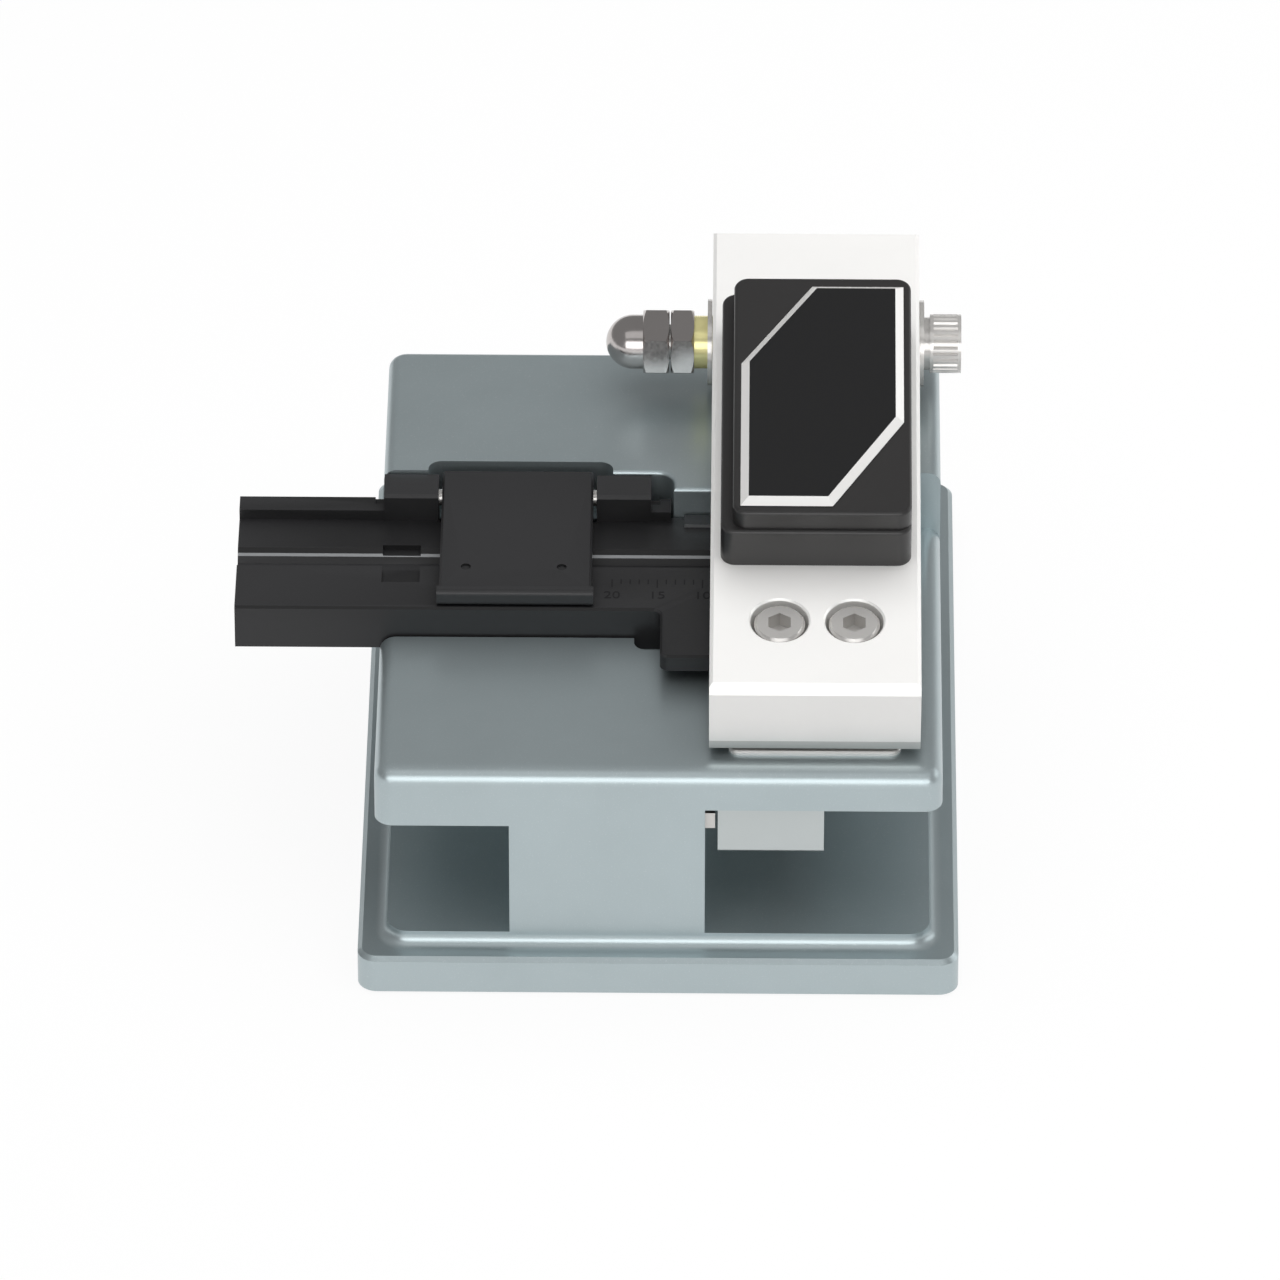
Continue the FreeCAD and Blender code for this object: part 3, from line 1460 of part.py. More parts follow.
def make_blade_carriage():
    body = new_body("blade_carriage")
    pad(
        body,
        rectangle(flat(body, carriage_low), carriage_left, carriage_right, carriage_y, carriage_back),
        carriage_height,
    )
    bevel_edges(body, lambda p: near(p.z, carriage_low) and near(p.y, carriage_y), carriage_edge)
    cheek_front = blade_y - cheek_length / 2
    for x in (cheek_left, cheek_right - cheek_thick):
        cheek = rectangle(flat(body, carriage_top), x, x + cheek_thick, cheek_front, cheek_front + cheek_length)
        pad(body, cheek, cheek_rise)
    cheek_back = cheek_front + cheek_length
    round_edges(body, lambda p: near(p.z, cheek_top) and near(p.y, cheek_front, cheek_back), cheek_round)
    half = wheel_room / 2
    room = rectangle(
        flat(body, carriage_top), blade_x - half, blade_x + half,
        blade_y - blade_radius - gap, blade_y + blade_radius + gap,
    )
    pocket(body, room, carriage_height)
    axle_hole = disc(sideways(body, cheek_left), blade_y, blade_z, axle_radius)
    pocket(body, axle_hole, cheek_right - cheek_left, forward=True)

    # Dovetail channel that runs on the slide rail, closed by a wall at the front.
    g = slide_gap
    mouth = carriage_left - 1
    knee = post_right + rail_neck_reach
    deep = post_right + rail_reach + g
    channel = [
        (mouth, rail_z - rail_neck / 2 - g),
        (knee, rail_z - rail_neck / 2 - g),
        (deep, rail_z - rail_head / 2 - g),
        (deep, rail_z + rail_head / 2 + g),
        (knee, rail_z + rail_neck / 2 + g),
        (mouth, rail_z + rail_neck / 2 + g),
    ]
    channel_length = carriage_length - carriage_front_wall
    pocket(body, outline(frontal(body, carriage_back + 1), channel), channel_length + 1, forward=True)

    # Slot of the stop pin, and the threaded hole of the blade's lock screw.
    slot_back_y = stop_y + stop_radius + gap / 3
    slot_front_y = stop_y - blade_stroke - stop_radius - gap / 3
    half_stop = stop_radius + gap / 3
    slot = rectangle(flat(body, carriage_top), stop_x - half_stop, stop_x + half_stop, slot_front_y, slot_back_y)
    pocket(body, slot, stop_depth + gap / 3)
    pocket(body, disc(sideways(body, carriage_right), lock_y, lock_z, lock_radius), lock_reach)


lock_radius = size("lock_radius", 0.75)
lock_reach = carriage_right - blade_x - wheel_room / 2
lock_ahead = size("lock_ahead", 5.2)
lock_drop = size("lock_drop", 3.4)
lock_key = size("lock_key", 0.7)
lock_y = blade_y - lock_ahead
lock_z = blade_z - lock_drop


def make_blade_lock_screw():
    """Grub screw in the side of the carriage that holds the blade at one of its positions."""
    screw = cylinder(lock_radius, lock_reach, (carriage_right - lock_reach, lock_y, lock_z), "+x")
    depth = lock_reach / 2
    socket = hexagon(lock_key, depth, (carriage_right - depth, lock_y, lock_z), "+x")
    group("blade_lock_screw", [cut(screw, socket)])


def make_blade_wheel():
    """Round blade: a flat disc whose rim is ground to an edge from both sides, with index holes."""
    body = new_body("blade_wheel")
    half = blade_thick / 2
    section = [
        (-half, axle_radius + run_fit),
        (half, axle_radius + run_fit),
        (half, blade_radius - bevel_length),
        (edge_half, blade_radius),
        (-edge_half, blade_radius),
        (-half, blade_radius - bevel_length),
    ]
    revolve(body, outline(new_sketch(body, "XY_Plane", 0), section))
    hole = disc(sideways(body, -half), 0, index_ring, index_radius)
    first = pocket(body, hole, blade_thick, forward=True)
    ring = body.newObject("PartDesign::PolarPattern", "index_holes")
    ring.Originals = [first]
    ring.Axis = (origin_axis(body, "X_Axis"), [""])
    ring.Angle = 360
    ring.Occurrences = BLADE_POSITIONS
    body.Tip = ring
    doc.recompute()
    put(body, (blade_x, blade_y, blade_z))


BLADE_POSITIONS = 12
bevel_length = size("bevel_length", 1.6)
edge_half = size("edge_half", 0.05)
index_ring = size("index_ring", 4.4)
index_radius = size("index_radius", 0.45)


def origin_axis(body, role):
    return next(f for f in body.Origin.OriginFeatures if f.Role == role)


def make_blade_axle():
    axle = cylinder(axle_radius, cheek_right - cheek_left, (cheek_left, blade_y, blade_z), "+x")
    corner = (cheek_right - axle_slot, blade_y - axle_radius, blade_z - axle_slot / 2)
    slot = block(corner, axle_slot, axle_radius * 2, axle_slot)
    group("blade_axle", [cut(axle, slot)])


axle_slot = size("axle_slot", 0.5)


def make_slide_rail():
    """A strip along the post, with the dovetail head only where the carriage's channel runs."""
    body = new_body("slide_rail")
    half_neck = rail_neck / 2
    strip = rectangle(
        frontal(body, rail_head_y), post_right, post_right + strip_reach, rail_z - half_neck, rail_z + half_neck,
    )
    pad(body, strip, rail_head_y - rail_y)
    knee = post_right + rail_neck_reach
    deep = post_right + rail_reach
    section = [
        (post_right, rail_z - rail_neck / 2),
        (knee, rail_z - rail_neck / 2),
        (deep, rail_z - rail_head / 2),
        (deep, rail_z + rail_head / 2),
        (knee, rail_z + rail_neck / 2),
        (post_right, rail_z + rail_neck / 2),
    ]
    pad(body, outline(frontal(body, rail_back), section), rail_back - rail_head_y)
    heads = sideways(body, deep)
    shanks = sideways(body, deep)
    for y in rail_screw_places():
        disc(heads, y, rail_z, rail_screw_head + run_fit)
        disc(shanks, y, rail_z, rail_screw_radius)
    pocket(body, heads, rail_head_seat)
    pocket(body, shanks, rail_reach)


rail_head_seat = size("rail_head_seat", 1.0)
rail_screw_head = size("rail_screw_head", 1.2)
rail_screw_key = size("rail_screw_key", 1.1)


def make_rail_screws():
    seat = post_right + rail_reach - rail_head_seat
    reach = seat - post_right + rail_screw_reach
    screws = [
        cap_screw(
            rail_screw_head, rail_head_seat - gap / 2, rail_screw_radius, reach, rail_screw_key,
            (seat, y, rail_z), "+x",
        )
        for y in rail_screw_places()
    ]
    group("rail_screws", screws)


def make_slide_stop_pin():
    low = carriage_top - stop_depth
    length = right_wing_under + stop_seat - low
    group("slide_stop_pin", [cylinder(stop_radius, length, (stop_x, stop_y, low))])


# ------------------------------------------------------------------ assembly

def main():
    make_frame_body()
    make_rubber_feet()
    make_fibre_guide()
    make_guide_screws()
    make_lid_magnet()
    make_clamp_lid()
    make_lid_pad()
    make_lid_hinge_pin()
    make_fibre_rest()
    make_rest_screw()
    make_lower_clamp_pads()
    make_lever_arm()
    tilt_with_arm(nodes[-1])
    make_nose_plate()
    make_nose_screws()
    make_closing_magnet()
    make_striker_plate()
    make_striker_screws()
    make_arm_cover()
    make_cover_plate()
    make_cover_screws()
    make_clamp_block()
    make_upper_clamp_pads()
    make_clamp_pins()
    make_clamp_springs()
    make_anvil()
    make_anvil_screw()
    make_pivot_sleeve()
    make_pivot_washers()
    make_bolt_washer()
    make_pivot_bolt()
    make_pivot_lock_nut()
    make_pivot_cap_nut()
    make_blade_carriage()
    make_blade_lock_screw()
    make_blade_wheel()
    make_blade_axle()
    make_slide_rail()
    make_rail_screws()
    make_slide_stop_pin()
    doc.recompute()
    write_parts()


def write_parts():
    for thing in doc.Objects:
        if "Invalid" in thing.State or "Error" in thing.State:
            raise RuntimeError(f"{thing.Name} ({thing.Label}) failed: {thing.State}")
    os.makedirs("parts", exist_ok=True)
    for node in nodes:
        if node.Shape.isNull() or not node.Shape.isValid():
            raise RuntimeError(f"{node.Label} has no valid shape")
        node.Shape.exportStep(f"parts/{node.Label}.step")
        print(node.Label, len(node.Shape.Solids), round(node.Shape.Volume, 1))


main()
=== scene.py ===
"""Looks for the fibre cleaver, laid out as a Blender add-on and run as a script.

Lengths are in metres, in the frame's own axes: +X right, +Y back, +Z up.
"""

import math

import bpy
from bpy.props import FloatProperty, FloatVectorProperty, IntProperty, PointerProperty
from mathutils import Matrix, Vector


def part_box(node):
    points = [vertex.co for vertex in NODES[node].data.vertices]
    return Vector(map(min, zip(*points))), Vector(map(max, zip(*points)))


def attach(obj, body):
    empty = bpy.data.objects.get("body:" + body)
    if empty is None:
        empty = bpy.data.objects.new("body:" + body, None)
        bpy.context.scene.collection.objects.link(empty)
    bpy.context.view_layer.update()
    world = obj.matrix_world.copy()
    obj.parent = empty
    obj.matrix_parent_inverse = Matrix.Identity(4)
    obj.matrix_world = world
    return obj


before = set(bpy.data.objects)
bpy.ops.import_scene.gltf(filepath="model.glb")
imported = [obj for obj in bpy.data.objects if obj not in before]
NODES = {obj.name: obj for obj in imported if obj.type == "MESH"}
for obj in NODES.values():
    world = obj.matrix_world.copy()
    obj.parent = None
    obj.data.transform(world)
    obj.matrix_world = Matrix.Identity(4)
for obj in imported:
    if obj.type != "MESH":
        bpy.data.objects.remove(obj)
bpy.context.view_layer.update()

bl_info = {
    "name": "Fibre Cleaver Finishes",
    "version": (1, 0, 0),
    "blender": (4, 5, 0),
    "location": "View3D > Sidebar > Cleaver",
    "description": "Finishes, scale marks and studio for the fibre cleaver",
    "category": "Object",
}

MM = 0.001

BASE_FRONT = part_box("frame_body")[0].y
GUIDE_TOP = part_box("fibre_rest")[1].z  # the rest stands level with the guide
BLADE_X = sum(corner.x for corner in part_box("blade_wheel")) / 2
ARM_TILT = math.radians(9.8)  # how far the closed arm and its cover slope down to the front

# Strips of the guide with painted light and shade: heights from its top, and distances right of the frame's
# middle.
GROOVE_WALL = (0, -1.25, 1.3)
# Painted shade: the deep black band on the groove's sloping wall.
GROOVE_SHADE_HEIGHTS = (-0.44 * MM, 0.0)
# Painted highlight: the bright band just below it on the same wall.
GROOVE_HIGHLIGHT_HEIGHTS = (-0.68 * MM, -0.44 * MM)
# Painted highlight: the front face of the low step at the guide's right end.
LEDGE_HIGHLIGHT_HEIGHTS = (0.02 * MM, 0.44 * MM)
LEDGE_HIGHLIGHT_ENDS = (2 * MM, 13.2 * MM)

# The length scale on the guide.
MARKS_SETBACK = 34.2 * MM  # from the base's front edge to the rear ends of the marks
LONG_EVERY = 5             # every fifth mark is long and has a figure
LONG_MARK = 1.5 * MM
SHORT_MARK = 0.9 * MM
FIGURES_AHEAD = 3.6 * MM   # from the rear ends of the marks forward to the feet of the figures
MARK_SUNK = 0.02 * MM
MARK_PROUD = 0.015 * MM
FIGURE_HALF_THICKNESS = 0.01 * MM
FIGURE_MIDDLE = 0.011 * MM
BAR_FACES = ((0, 3, 2, 1), (4, 5, 6, 7), (0, 1, 5, 4), (1, 2, 6, 5), (2, 3, 7, 6), (3, 0, 4, 7))

# The studio's lights: name, setting with the power, size, place, direction, and the rays that pass it by.
LIGHTS = (
    ("overhead_fill", "top_power", (0.9, 0.85), (0.14, -0.05, 0.5), (0, 0, -1), "visible_glossy"),
    ("low_softbox", "front_power", (1.4, 0.62), (0, -1.05, 0.42), (0, 1.05, -0.38), "visible_diffuse"),
    ("high_glow", "glow_power", (1.2, 0.5), (0, -0.38, 0.87), (0, 0.38, -0.83), "visible_diffuse"),
    ("side_softbox", "side_power", (1.0, 0.5), (1.0, 0.35, 0.4), (-1.0, -0.35, -0.36), "visible_diffuse"),
)
FLOOR_HALF = 6.0
FLOOR_LIFT = 0.92  # how much of the floor's seen colour is pure white; the rest shows its shadow
SENSOR_WIDTH = 36  # in millimetres
CLIP = (0.05, 30)

# How far the base's bottom front edge stands right of and below the middle of the view, in shares of the
# view's width.
AIM_RIGHT = 0.01387
AIM_DOWN = 0.2775

# How a grain is laid: the smaller the number along an axis, the longer the marks run that way.
EVEN = (1.0, 1.0, 1.0)
MILLED_ACROSS = (0.15, 1.0, 1.0)
MILLED_ALONG = (1.0, 0.15, 1.0)
GROUND_ACROSS = (0.2, 1.0, 1.0)
GROUND_ALONG = (1.0, 0.2, 1.0)
RINGS_ROUND_X = (1.0, 0.06, 0.06)

# Nearly all of a noise lies between these values.
NOISE_LOW = 0.3
NOISE_HIGH = 0.7

CLOUD_DETAIL = 3.0
CLOUD_ROUGHNESS = 0.6


# ------------------------------------------------------------------ colours

def linear(hex_colour):
    """An sRGB hex colour as linear red, green and blue."""
    channels = [int(hex_colour[i:i + 2], 16) / 255 for i in (1, 3, 5)]
    return tuple(c / 12.92 if c <= 0.04045 else ((c + 0.055) / 1.055) ** 2.4 for c in channels)


def colour_property(name, description, hex_colour):
    """A colour that the user can change."""
    return FloatVectorProperty(
        name=name, description=description, default=linear(hex_colour),
        subtype="COLOR", size=3, min=0, max=1,
    )


def shade(colour, factor):
    """A colour made darker or lighter by a factor, with alpha."""
    return (*(min(1, channel * factor) for channel in colour), 1)


# --------------------------------------------------------- material building

def add_node(tree, kind, settings=None, inputs=None):
    """Adds a node, sets its properties, and gives each input a value or a socket to link from."""
    node = tree.nodes.new(kind)
    for key, value in (settings or {}).items():
        setattr(node, key, value)
    for key, value in (inputs or {}).items():
        if isinstance(value, bpy.types.NodeSocket):
            tree.links.new(value, node.inputs[key])
        else:
            node.inputs[key].default_value = value
    return node


def empty_material(name):
    """A new material with nothing in its node tree."""
    material = bpy.data.materials.new(name)
    material.use_nodes = True
    material.node_tree.nodes.clear()
    return material


def per_metre(size_mm):
    """The noise scale whose features are about this many millimetres wide."""
    return 1 / (size_mm * MM)


class Finish:
    """A material in the making. Its gloss and its relief follow one fine grain."""

    def __init__(self, name, colour, grain, tones=None, lay=EVEN, cloud_mm=None):
        """Starts from a colour and a grain, which is a width in millimetres, a detail and a roughness.

        The colour drifts between two tones, given as shares darker and lighter. It drifts with the grain,
        or with broad clouds where their width is given.
        """
        self.material = empty_material(name)
        self.tree = self.material.node_tree
        self.place = add_node(self.tree, "ShaderNodeTexCoord").outputs["Object"]
        laid = add_node(self.tree, "ShaderNodeMapping", inputs={"Vector": self.place, "Scale": lay})
        width_mm, detail, roughness = grain
        self.grain = add_node(
            self.tree, "ShaderNodeTexNoise",
            inputs={
                "Vector": laid.outputs["Vector"],
                "Scale": per_metre(width_mm), "Detail": detail, "Roughness": roughness,
            },
        ).outputs["Fac"]
        drift = self.grain
        if cloud_mm:
            drift = add_node(
                self.tree, "ShaderNodeTexNoise",
                inputs={
                    "Vector": self.place,
                    "Scale": per_metre(cloud_mm), "Detail": CLOUD_DETAIL, "Roughness": CLOUD_ROUGHNESS,
                },
            ).outputs["Fac"]
        self.base = shade(colour, 1)
        if tones:
            darker, lighter = tones
            self.base = shade(colour, 1 - darker)
            self.cover(drift, shade(colour, 1 + lighter))

    def cover(self, mask, colour):
        """Lays another colour over the base, as far as the mask says."""
        self.base = add_node(
            self.tree, "ShaderNodeMix", {"data_type": "RGBA"}, {0: mask, 6: self.base, 7: colour}
        ).outputs[2]

    def close(self, gloss, relief=None, metallic=0.0, ior=None):
        """Adds the shader and returns the material.

        The gloss is the lowest and the highest roughness, the relief a depth in millimetres and a strength.
        """
        low, high = gloss
        roughness = add_node(
            self.tree, "ShaderNodeMapRange",
            inputs={
                "Value": self.grain, "From Min": NOISE_LOW, "From Max": NOISE_HIGH,
                "To Min": low, "To Max": high,
            },
        )
        sockets = {"Base Color": self.base, "Metallic": metallic, "Roughness": roughness.outputs["Result"]}
        if ior:
            sockets["IOR"] = ior
        if relief:
            depth_mm, strength = relief
            bump = add_node(
                self.tree, "ShaderNodeBump",
                inputs={"Height": self.grain, "Distance": depth_mm * MM, "Strength": strength},
            )
            sockets["Normal"] = bump.outputs["Normal"]
        shader = add_node(self.tree, "ShaderNodeBsdfPrincipled", inputs=sockets)
        add_node(self.tree, "ShaderNodeOutputMaterial", inputs={"Surface": shader.outputs["BSDF"]})
        return self.material


def facing(tree, direction, low=0.97, high=0.99):
    """A mask from 0 to 1, as the cosine of the surface's angle to the direction goes from low to high.

    The direction is in the piece's own space, so the mask moves with the piece.
    """
    world_normal = add_node(tree, "ShaderNodeNewGeometry").outputs["True Normal"]
    normal = add_node(
        tree, "ShaderNodeVectorTransform",
        {"vector_type": "NORMAL", "convert_from": "WORLD", "convert_to": "OBJECT"},
        {"Vector": world_normal},
    )
    cosine = add_node(
        tree, "ShaderNodeVectorMath", {"operation": "DOT_PRODUCT"},
        {0: normal.outputs["Vector"], 1: Vector(direction).normalized()},
    )
    return add_node(
        tree, "ShaderNodeMapRange",
        inputs={
            "Value": cosine.outputs["Value"], "From Min": low, "From Max": high,
            "To Min": 0.0, "To Max": 1.0,
        },
    ).outputs["Result"]


def strip_of_face(tree, place, direction, limits):
    """A mask that is 1 where the surface points along the direction and lies within each axis's limits."""
    mask = facing(tree, direction)
    axes = add_node(tree, "ShaderNodeSeparateXYZ", inputs={"Vector": place}).outputs
    for axis, (low, high) in limits.items():
        inside = add_node(
            tree, "ShaderNodeMath", {"operation": "COMPARE"},
            {0: axes[axis], 1: (low + high) / 2, 2: (high - low) / 2},
        )
        mask = add_node(
            tree, "ShaderNodeMath", {"operation": "MULTIPLY"}, {0: mask, 1: inside.outputs["Value"]}
        ).outputs["Value"]
    return mask


# ------------------------------------------------------------------ finishes
#
# The dimples, tool marks and moulded grain of the real surfaces are about 0.02 to 0.1 mm wide, too fine to
# show. They are drawn 0.2 to 0.35 mm wide, as coarse as they need to be. The clouds are the slight unevenness
# of oxide, plating and handling, which is some millimetres wide.

def blasted_aluminium(name, colour):
    """Bead-blasted and anodised aluminium.

    An even satin with faint cloudy patches, and a painted glint: white specks in the base colour for dimples
    catching light.
    The oxide scatters some light, so it looks less metallic than bare metal.
    """
    finish = Finish(name, colour, grain=(0.2, 2.0, 0.7), tones=(0.05, 0.05), cloud_mm=9.0)
    # Painted glint: white specks mixed into the base colour where the grain is highest.
    painted_sparkle = add_node(
        finish.tree, "ShaderNodeMapRange",
        inputs={"Value": finish.grain, "From Min": 0.58, "From Max": 0.78, "To Min": 0.0, "To Max": 0.2},
    )
    finish.cover(painted_sparkle.outputs["Result"], (*linear("#FFFFFF"), 1))
    return finish.close(gloss=(0.31, 0.41), relief=(0.02, 0.06), metallic=0.83)


def milled_metal(name, colour, roughness, mark_mm, lay, metallic=1.0):
    """Face-milled, ground or brushed metal: long fine marks along one direction, bright and satin.

    Under a clear oxide the metal looks whiter and less metallic.
    """
    finish = Finish(name, colour, grain=(mark_mm, 3.0, 0.65), tones=(0.03, 0.02), lay=lay, cloud_mm=12.0)
    return finish.close(gloss=(roughness - 0.04, roughness + 0.06), relief=(0.012, 0.25), metallic=metallic)


def turned_metal(name, colour, roughness, mark_mm, metallic=0.75, lay=RINGS_ROUND_X):
    """Turned metal: a clean gloss, with fine rings round the axis, or an even grain where it is plated."""
    finish = Finish(name, colour, grain=(mark_mm, 2.0, 0.5), tones=(0.05, 0.03), lay=lay, cloud_mm=4.0)
    return finish.close(gloss=(roughness - 0.03, roughness + 0.05), relief=(0.005, 0.06), metallic=metallic)


def black_anodised(name, colour, roughness, grit_mm, accents=()):
    """Milled aluminium dyed black: a dry dark satin with a powdery grit, brighter where edges are rubbed.

    Each accent is a colour, a direction and limits, for a strip of a face with painted light or shade,
    brighter or darker.
    """
    finish = Finish(name, colour, grain=(grit_mm, 3.0, 0.7), tones=(0.3, 0.3))
    pointed = add_node(finish.tree, "ShaderNodeNewGeometry").outputs["Pointiness"]
    rubbed = add_node(
        finish.tree, "ShaderNodeMapRange",
        inputs={"Value": pointed, "From Min": 0.52, "From Max": 0.60, "To Min": 0.0, "To Max": 0.35},
    )
    finish.cover(rubbed.outputs["Result"], shade(colour, 4))
    for accent, direction, limits in accents:
        finish.cover(strip_of_face(finish.tree, finish.place, direction, limits), (*accent, 1))
    return finish.close(gloss=(roughness - 0.05, roughness + 0.07), relief=(0.01, 0.3), metallic=0.25)


def moulded_plastic(name, colour, roughness, grain_mm):
    """Injection-moulded ABS or resin from a spark-eroded mould: a soft sheen with an even fine grain."""
    finish = Finish(name, colour, grain=(grain_mm, 2.0, 0.5), tones=(0.08, 0.08))
    return finish.close(gloss=(roughness - 0.04, roughness + 0.05), relief=(0.012, 0.3), ior=1.54)


def soft_rubber(name, colour):
    """Moulded rubber: nearly black and dull, with a powdery grain."""
    finish = Finish(name, colour, grain=(0.25, 4.0, 0.7), tones=(0.2, 0.3))
    return finish.close(gloss=(0.75, 0.9), relief=(0.02, 0.4), ior=1.52)


def printed_plate(name, colour, rim_colour):
    """Aluminium printed black and bevelled after the print: a dark satin top and a bright satin rim."""
    finish = Finish(name, colour, grain=(0.3, 2.0, 0.5))
    # The rim is what faces neither straight up from the arm nor sideways.
    upwards = (0, -math.sin(ARM_TILT), math.cos(ARM_TILT))
    not_top = facing(finish.tree, upwards, 0.99, 0.95)
    not_side = facing(finish.tree, upwards, 0.1, 0.3)
    rim = add_node(finish.tree, "ShaderNodeMath", {"operation": "MULTIPLY"}, {0: not_top, 1: not_side})
    finish.cover(rim.outputs["Value"], (*rim_colour, 1))
    bare = add_node(
        finish.tree, "ShaderNodeMath", {"operation": "MULTIPLY"}, {0: rim.outputs["Value"], 1: 0.5}
    )
    return finish.close(gloss=(0.30, 0.36), metallic=bare.outputs["Value"])


def dress(material, *nodes):
    """Gives the material to every slot of the named CAD nodes."""
    for name in nodes:
        for slot in NODES[name].material_slots:
            slot.material = material


# ------------------------------------------------------------------ settings

class CLEAVER_PG_finishes(bpy.types.PropertyGroup):
    """Colours of the finishes"""

    frame_colour: colour_property("Frame", "Blue-grey anodised frame", "#B2BEC1")
    arm_colour: colour_property("Arm", "Clear anodised lever arm", "#F2F1EF")
    carriage_colour: colour_property("Carriage", "Milled carriage and clamp block", "#C0C6C6")
    steel_colour: colour_property("Steel", "Plated screws, washers and pins", "#D2D0CD")
    nut_colour: colour_property("Nuts", "Nickel-plated nuts", "#C4BFBD")
    brass_colour: colour_property("Brass", "Turned brass sleeve", "#EFE7A8")
    blade_colour: colour_property("Blade", "Lapped hard metal blade", "#9FA3A8")
    black_colour: colour_property("Black metal", "Black anodised guide and lid", "#1D1D1E")
    plastic_colour: colour_property("Black plastic", "Moulded cover", "#222121")
    plate_colour: colour_property("Cover plate", "Black plate on the cover", "#121213")
    rubber_colour: colour_property("Rubber", "Feet and clamp pads", "#1E1E1F")
    # Painted highlight: the bright bands on the guide's groove wall and on the front of its low step.
    rubbed_colour: colour_property("Painted guide highlight", "Bright strips on the guide", "#8A8C8E")
    # Painted shade: a deep black band painted on the groove's sloping wall.
    soot_colour: colour_property("Painted groove shade", "Deep black wall of the guide's groove", "#121213")
    mark_colour: colour_property("Marks", "Marks and figures of the scale", "#0E0E0F")


class CLEAVER_PG_scale(bpy.types.PropertyGroup):
    """Length scale on the guide"""

    first: IntProperty(
        name="First mark", description="Shortest marked fibre length, in millimetres", default=8,
        min=1, max=60,
    )
    last: IntProperty(
        name="Last mark", description="Longest marked fibre length, in millimetres", default=20,
        min=1, max=60,
    )
    line_width: FloatProperty(
        name="Line width", description="Width of a mark", default=0.14 * MM,
        min=0.02 * MM, max=1 * MM, unit="LENGTH",
    )
    figure_height: FloatProperty(
        name="Figure height", description="Height of the figures", default=1.9 * MM,
        min=0.5 * MM, max=5 * MM, unit="LENGTH",
    )


class CLEAVER_PG_studio(bpy.types.PropertyGroup):
    """Camera and lights"""

    azimuth: FloatProperty(
        name="Azimuth", description="Camera's turn round the part", default=math.radians(0.62),
        subtype="ANGLE", unit="ROTATION",
    )
    elevation: FloatProperty(
        name="Elevation", description="Camera's height over the table", default=math.radians(35.7),
        subtype="ANGLE", unit="ROTATION",
    )
    distance: FloatProperty(
        name="Distance", description="Depth from the camera to the aimed point", default=1.46686,
        min=0.1, unit="LENGTH",
    )
    lens: FloatProperty(
        name="Lens", description="Focal length in millimetres", default=375.5, min=20, max=800
    )
    top_power: FloatProperty(
        name="Overhead fill", description="Power of the light overhead", default=5.1, min=0, unit="POWER"
    )
    front_power: FloatProperty(
        name="Low softbox", description="Power of the long front light", default=6.3, min=0, unit="POWER"
    )
    side_power: FloatProperty(
        name="Side softbox", description="Power of the light on the right", default=2.0, min=0, unit="POWER"
    )
    glow_power: FloatProperty(
        name="High glow", description="Power of the high front light", default=0.9, min=0, unit="POWER"
    )
    room_level: FloatProperty(
        name="Room level", description="Brightness of the room", default=0.28, min=0, max=2
    )


# ----------------------------------------------------------------- operators

class CLEAVER_OT_frame(bpy.types.Operator):
    """Finishes the machined frame and its feet"""

    bl_idname = "cleaver.frame"
    bl_label = "Frame"

    def execute(self, context):
        finishes = context.scene.cleaver_finishes
        dress(blasted_aluminium("bead_blasted_blue_grey_aluminium", finishes.frame_colour), "frame_body")
        # Hard rubber that grips the table: dull, with no glare.
        dress(soft_rubber("moulded_rubber", finishes.rubber_colour), "rubber_feet")
        return {"FINISHED"}


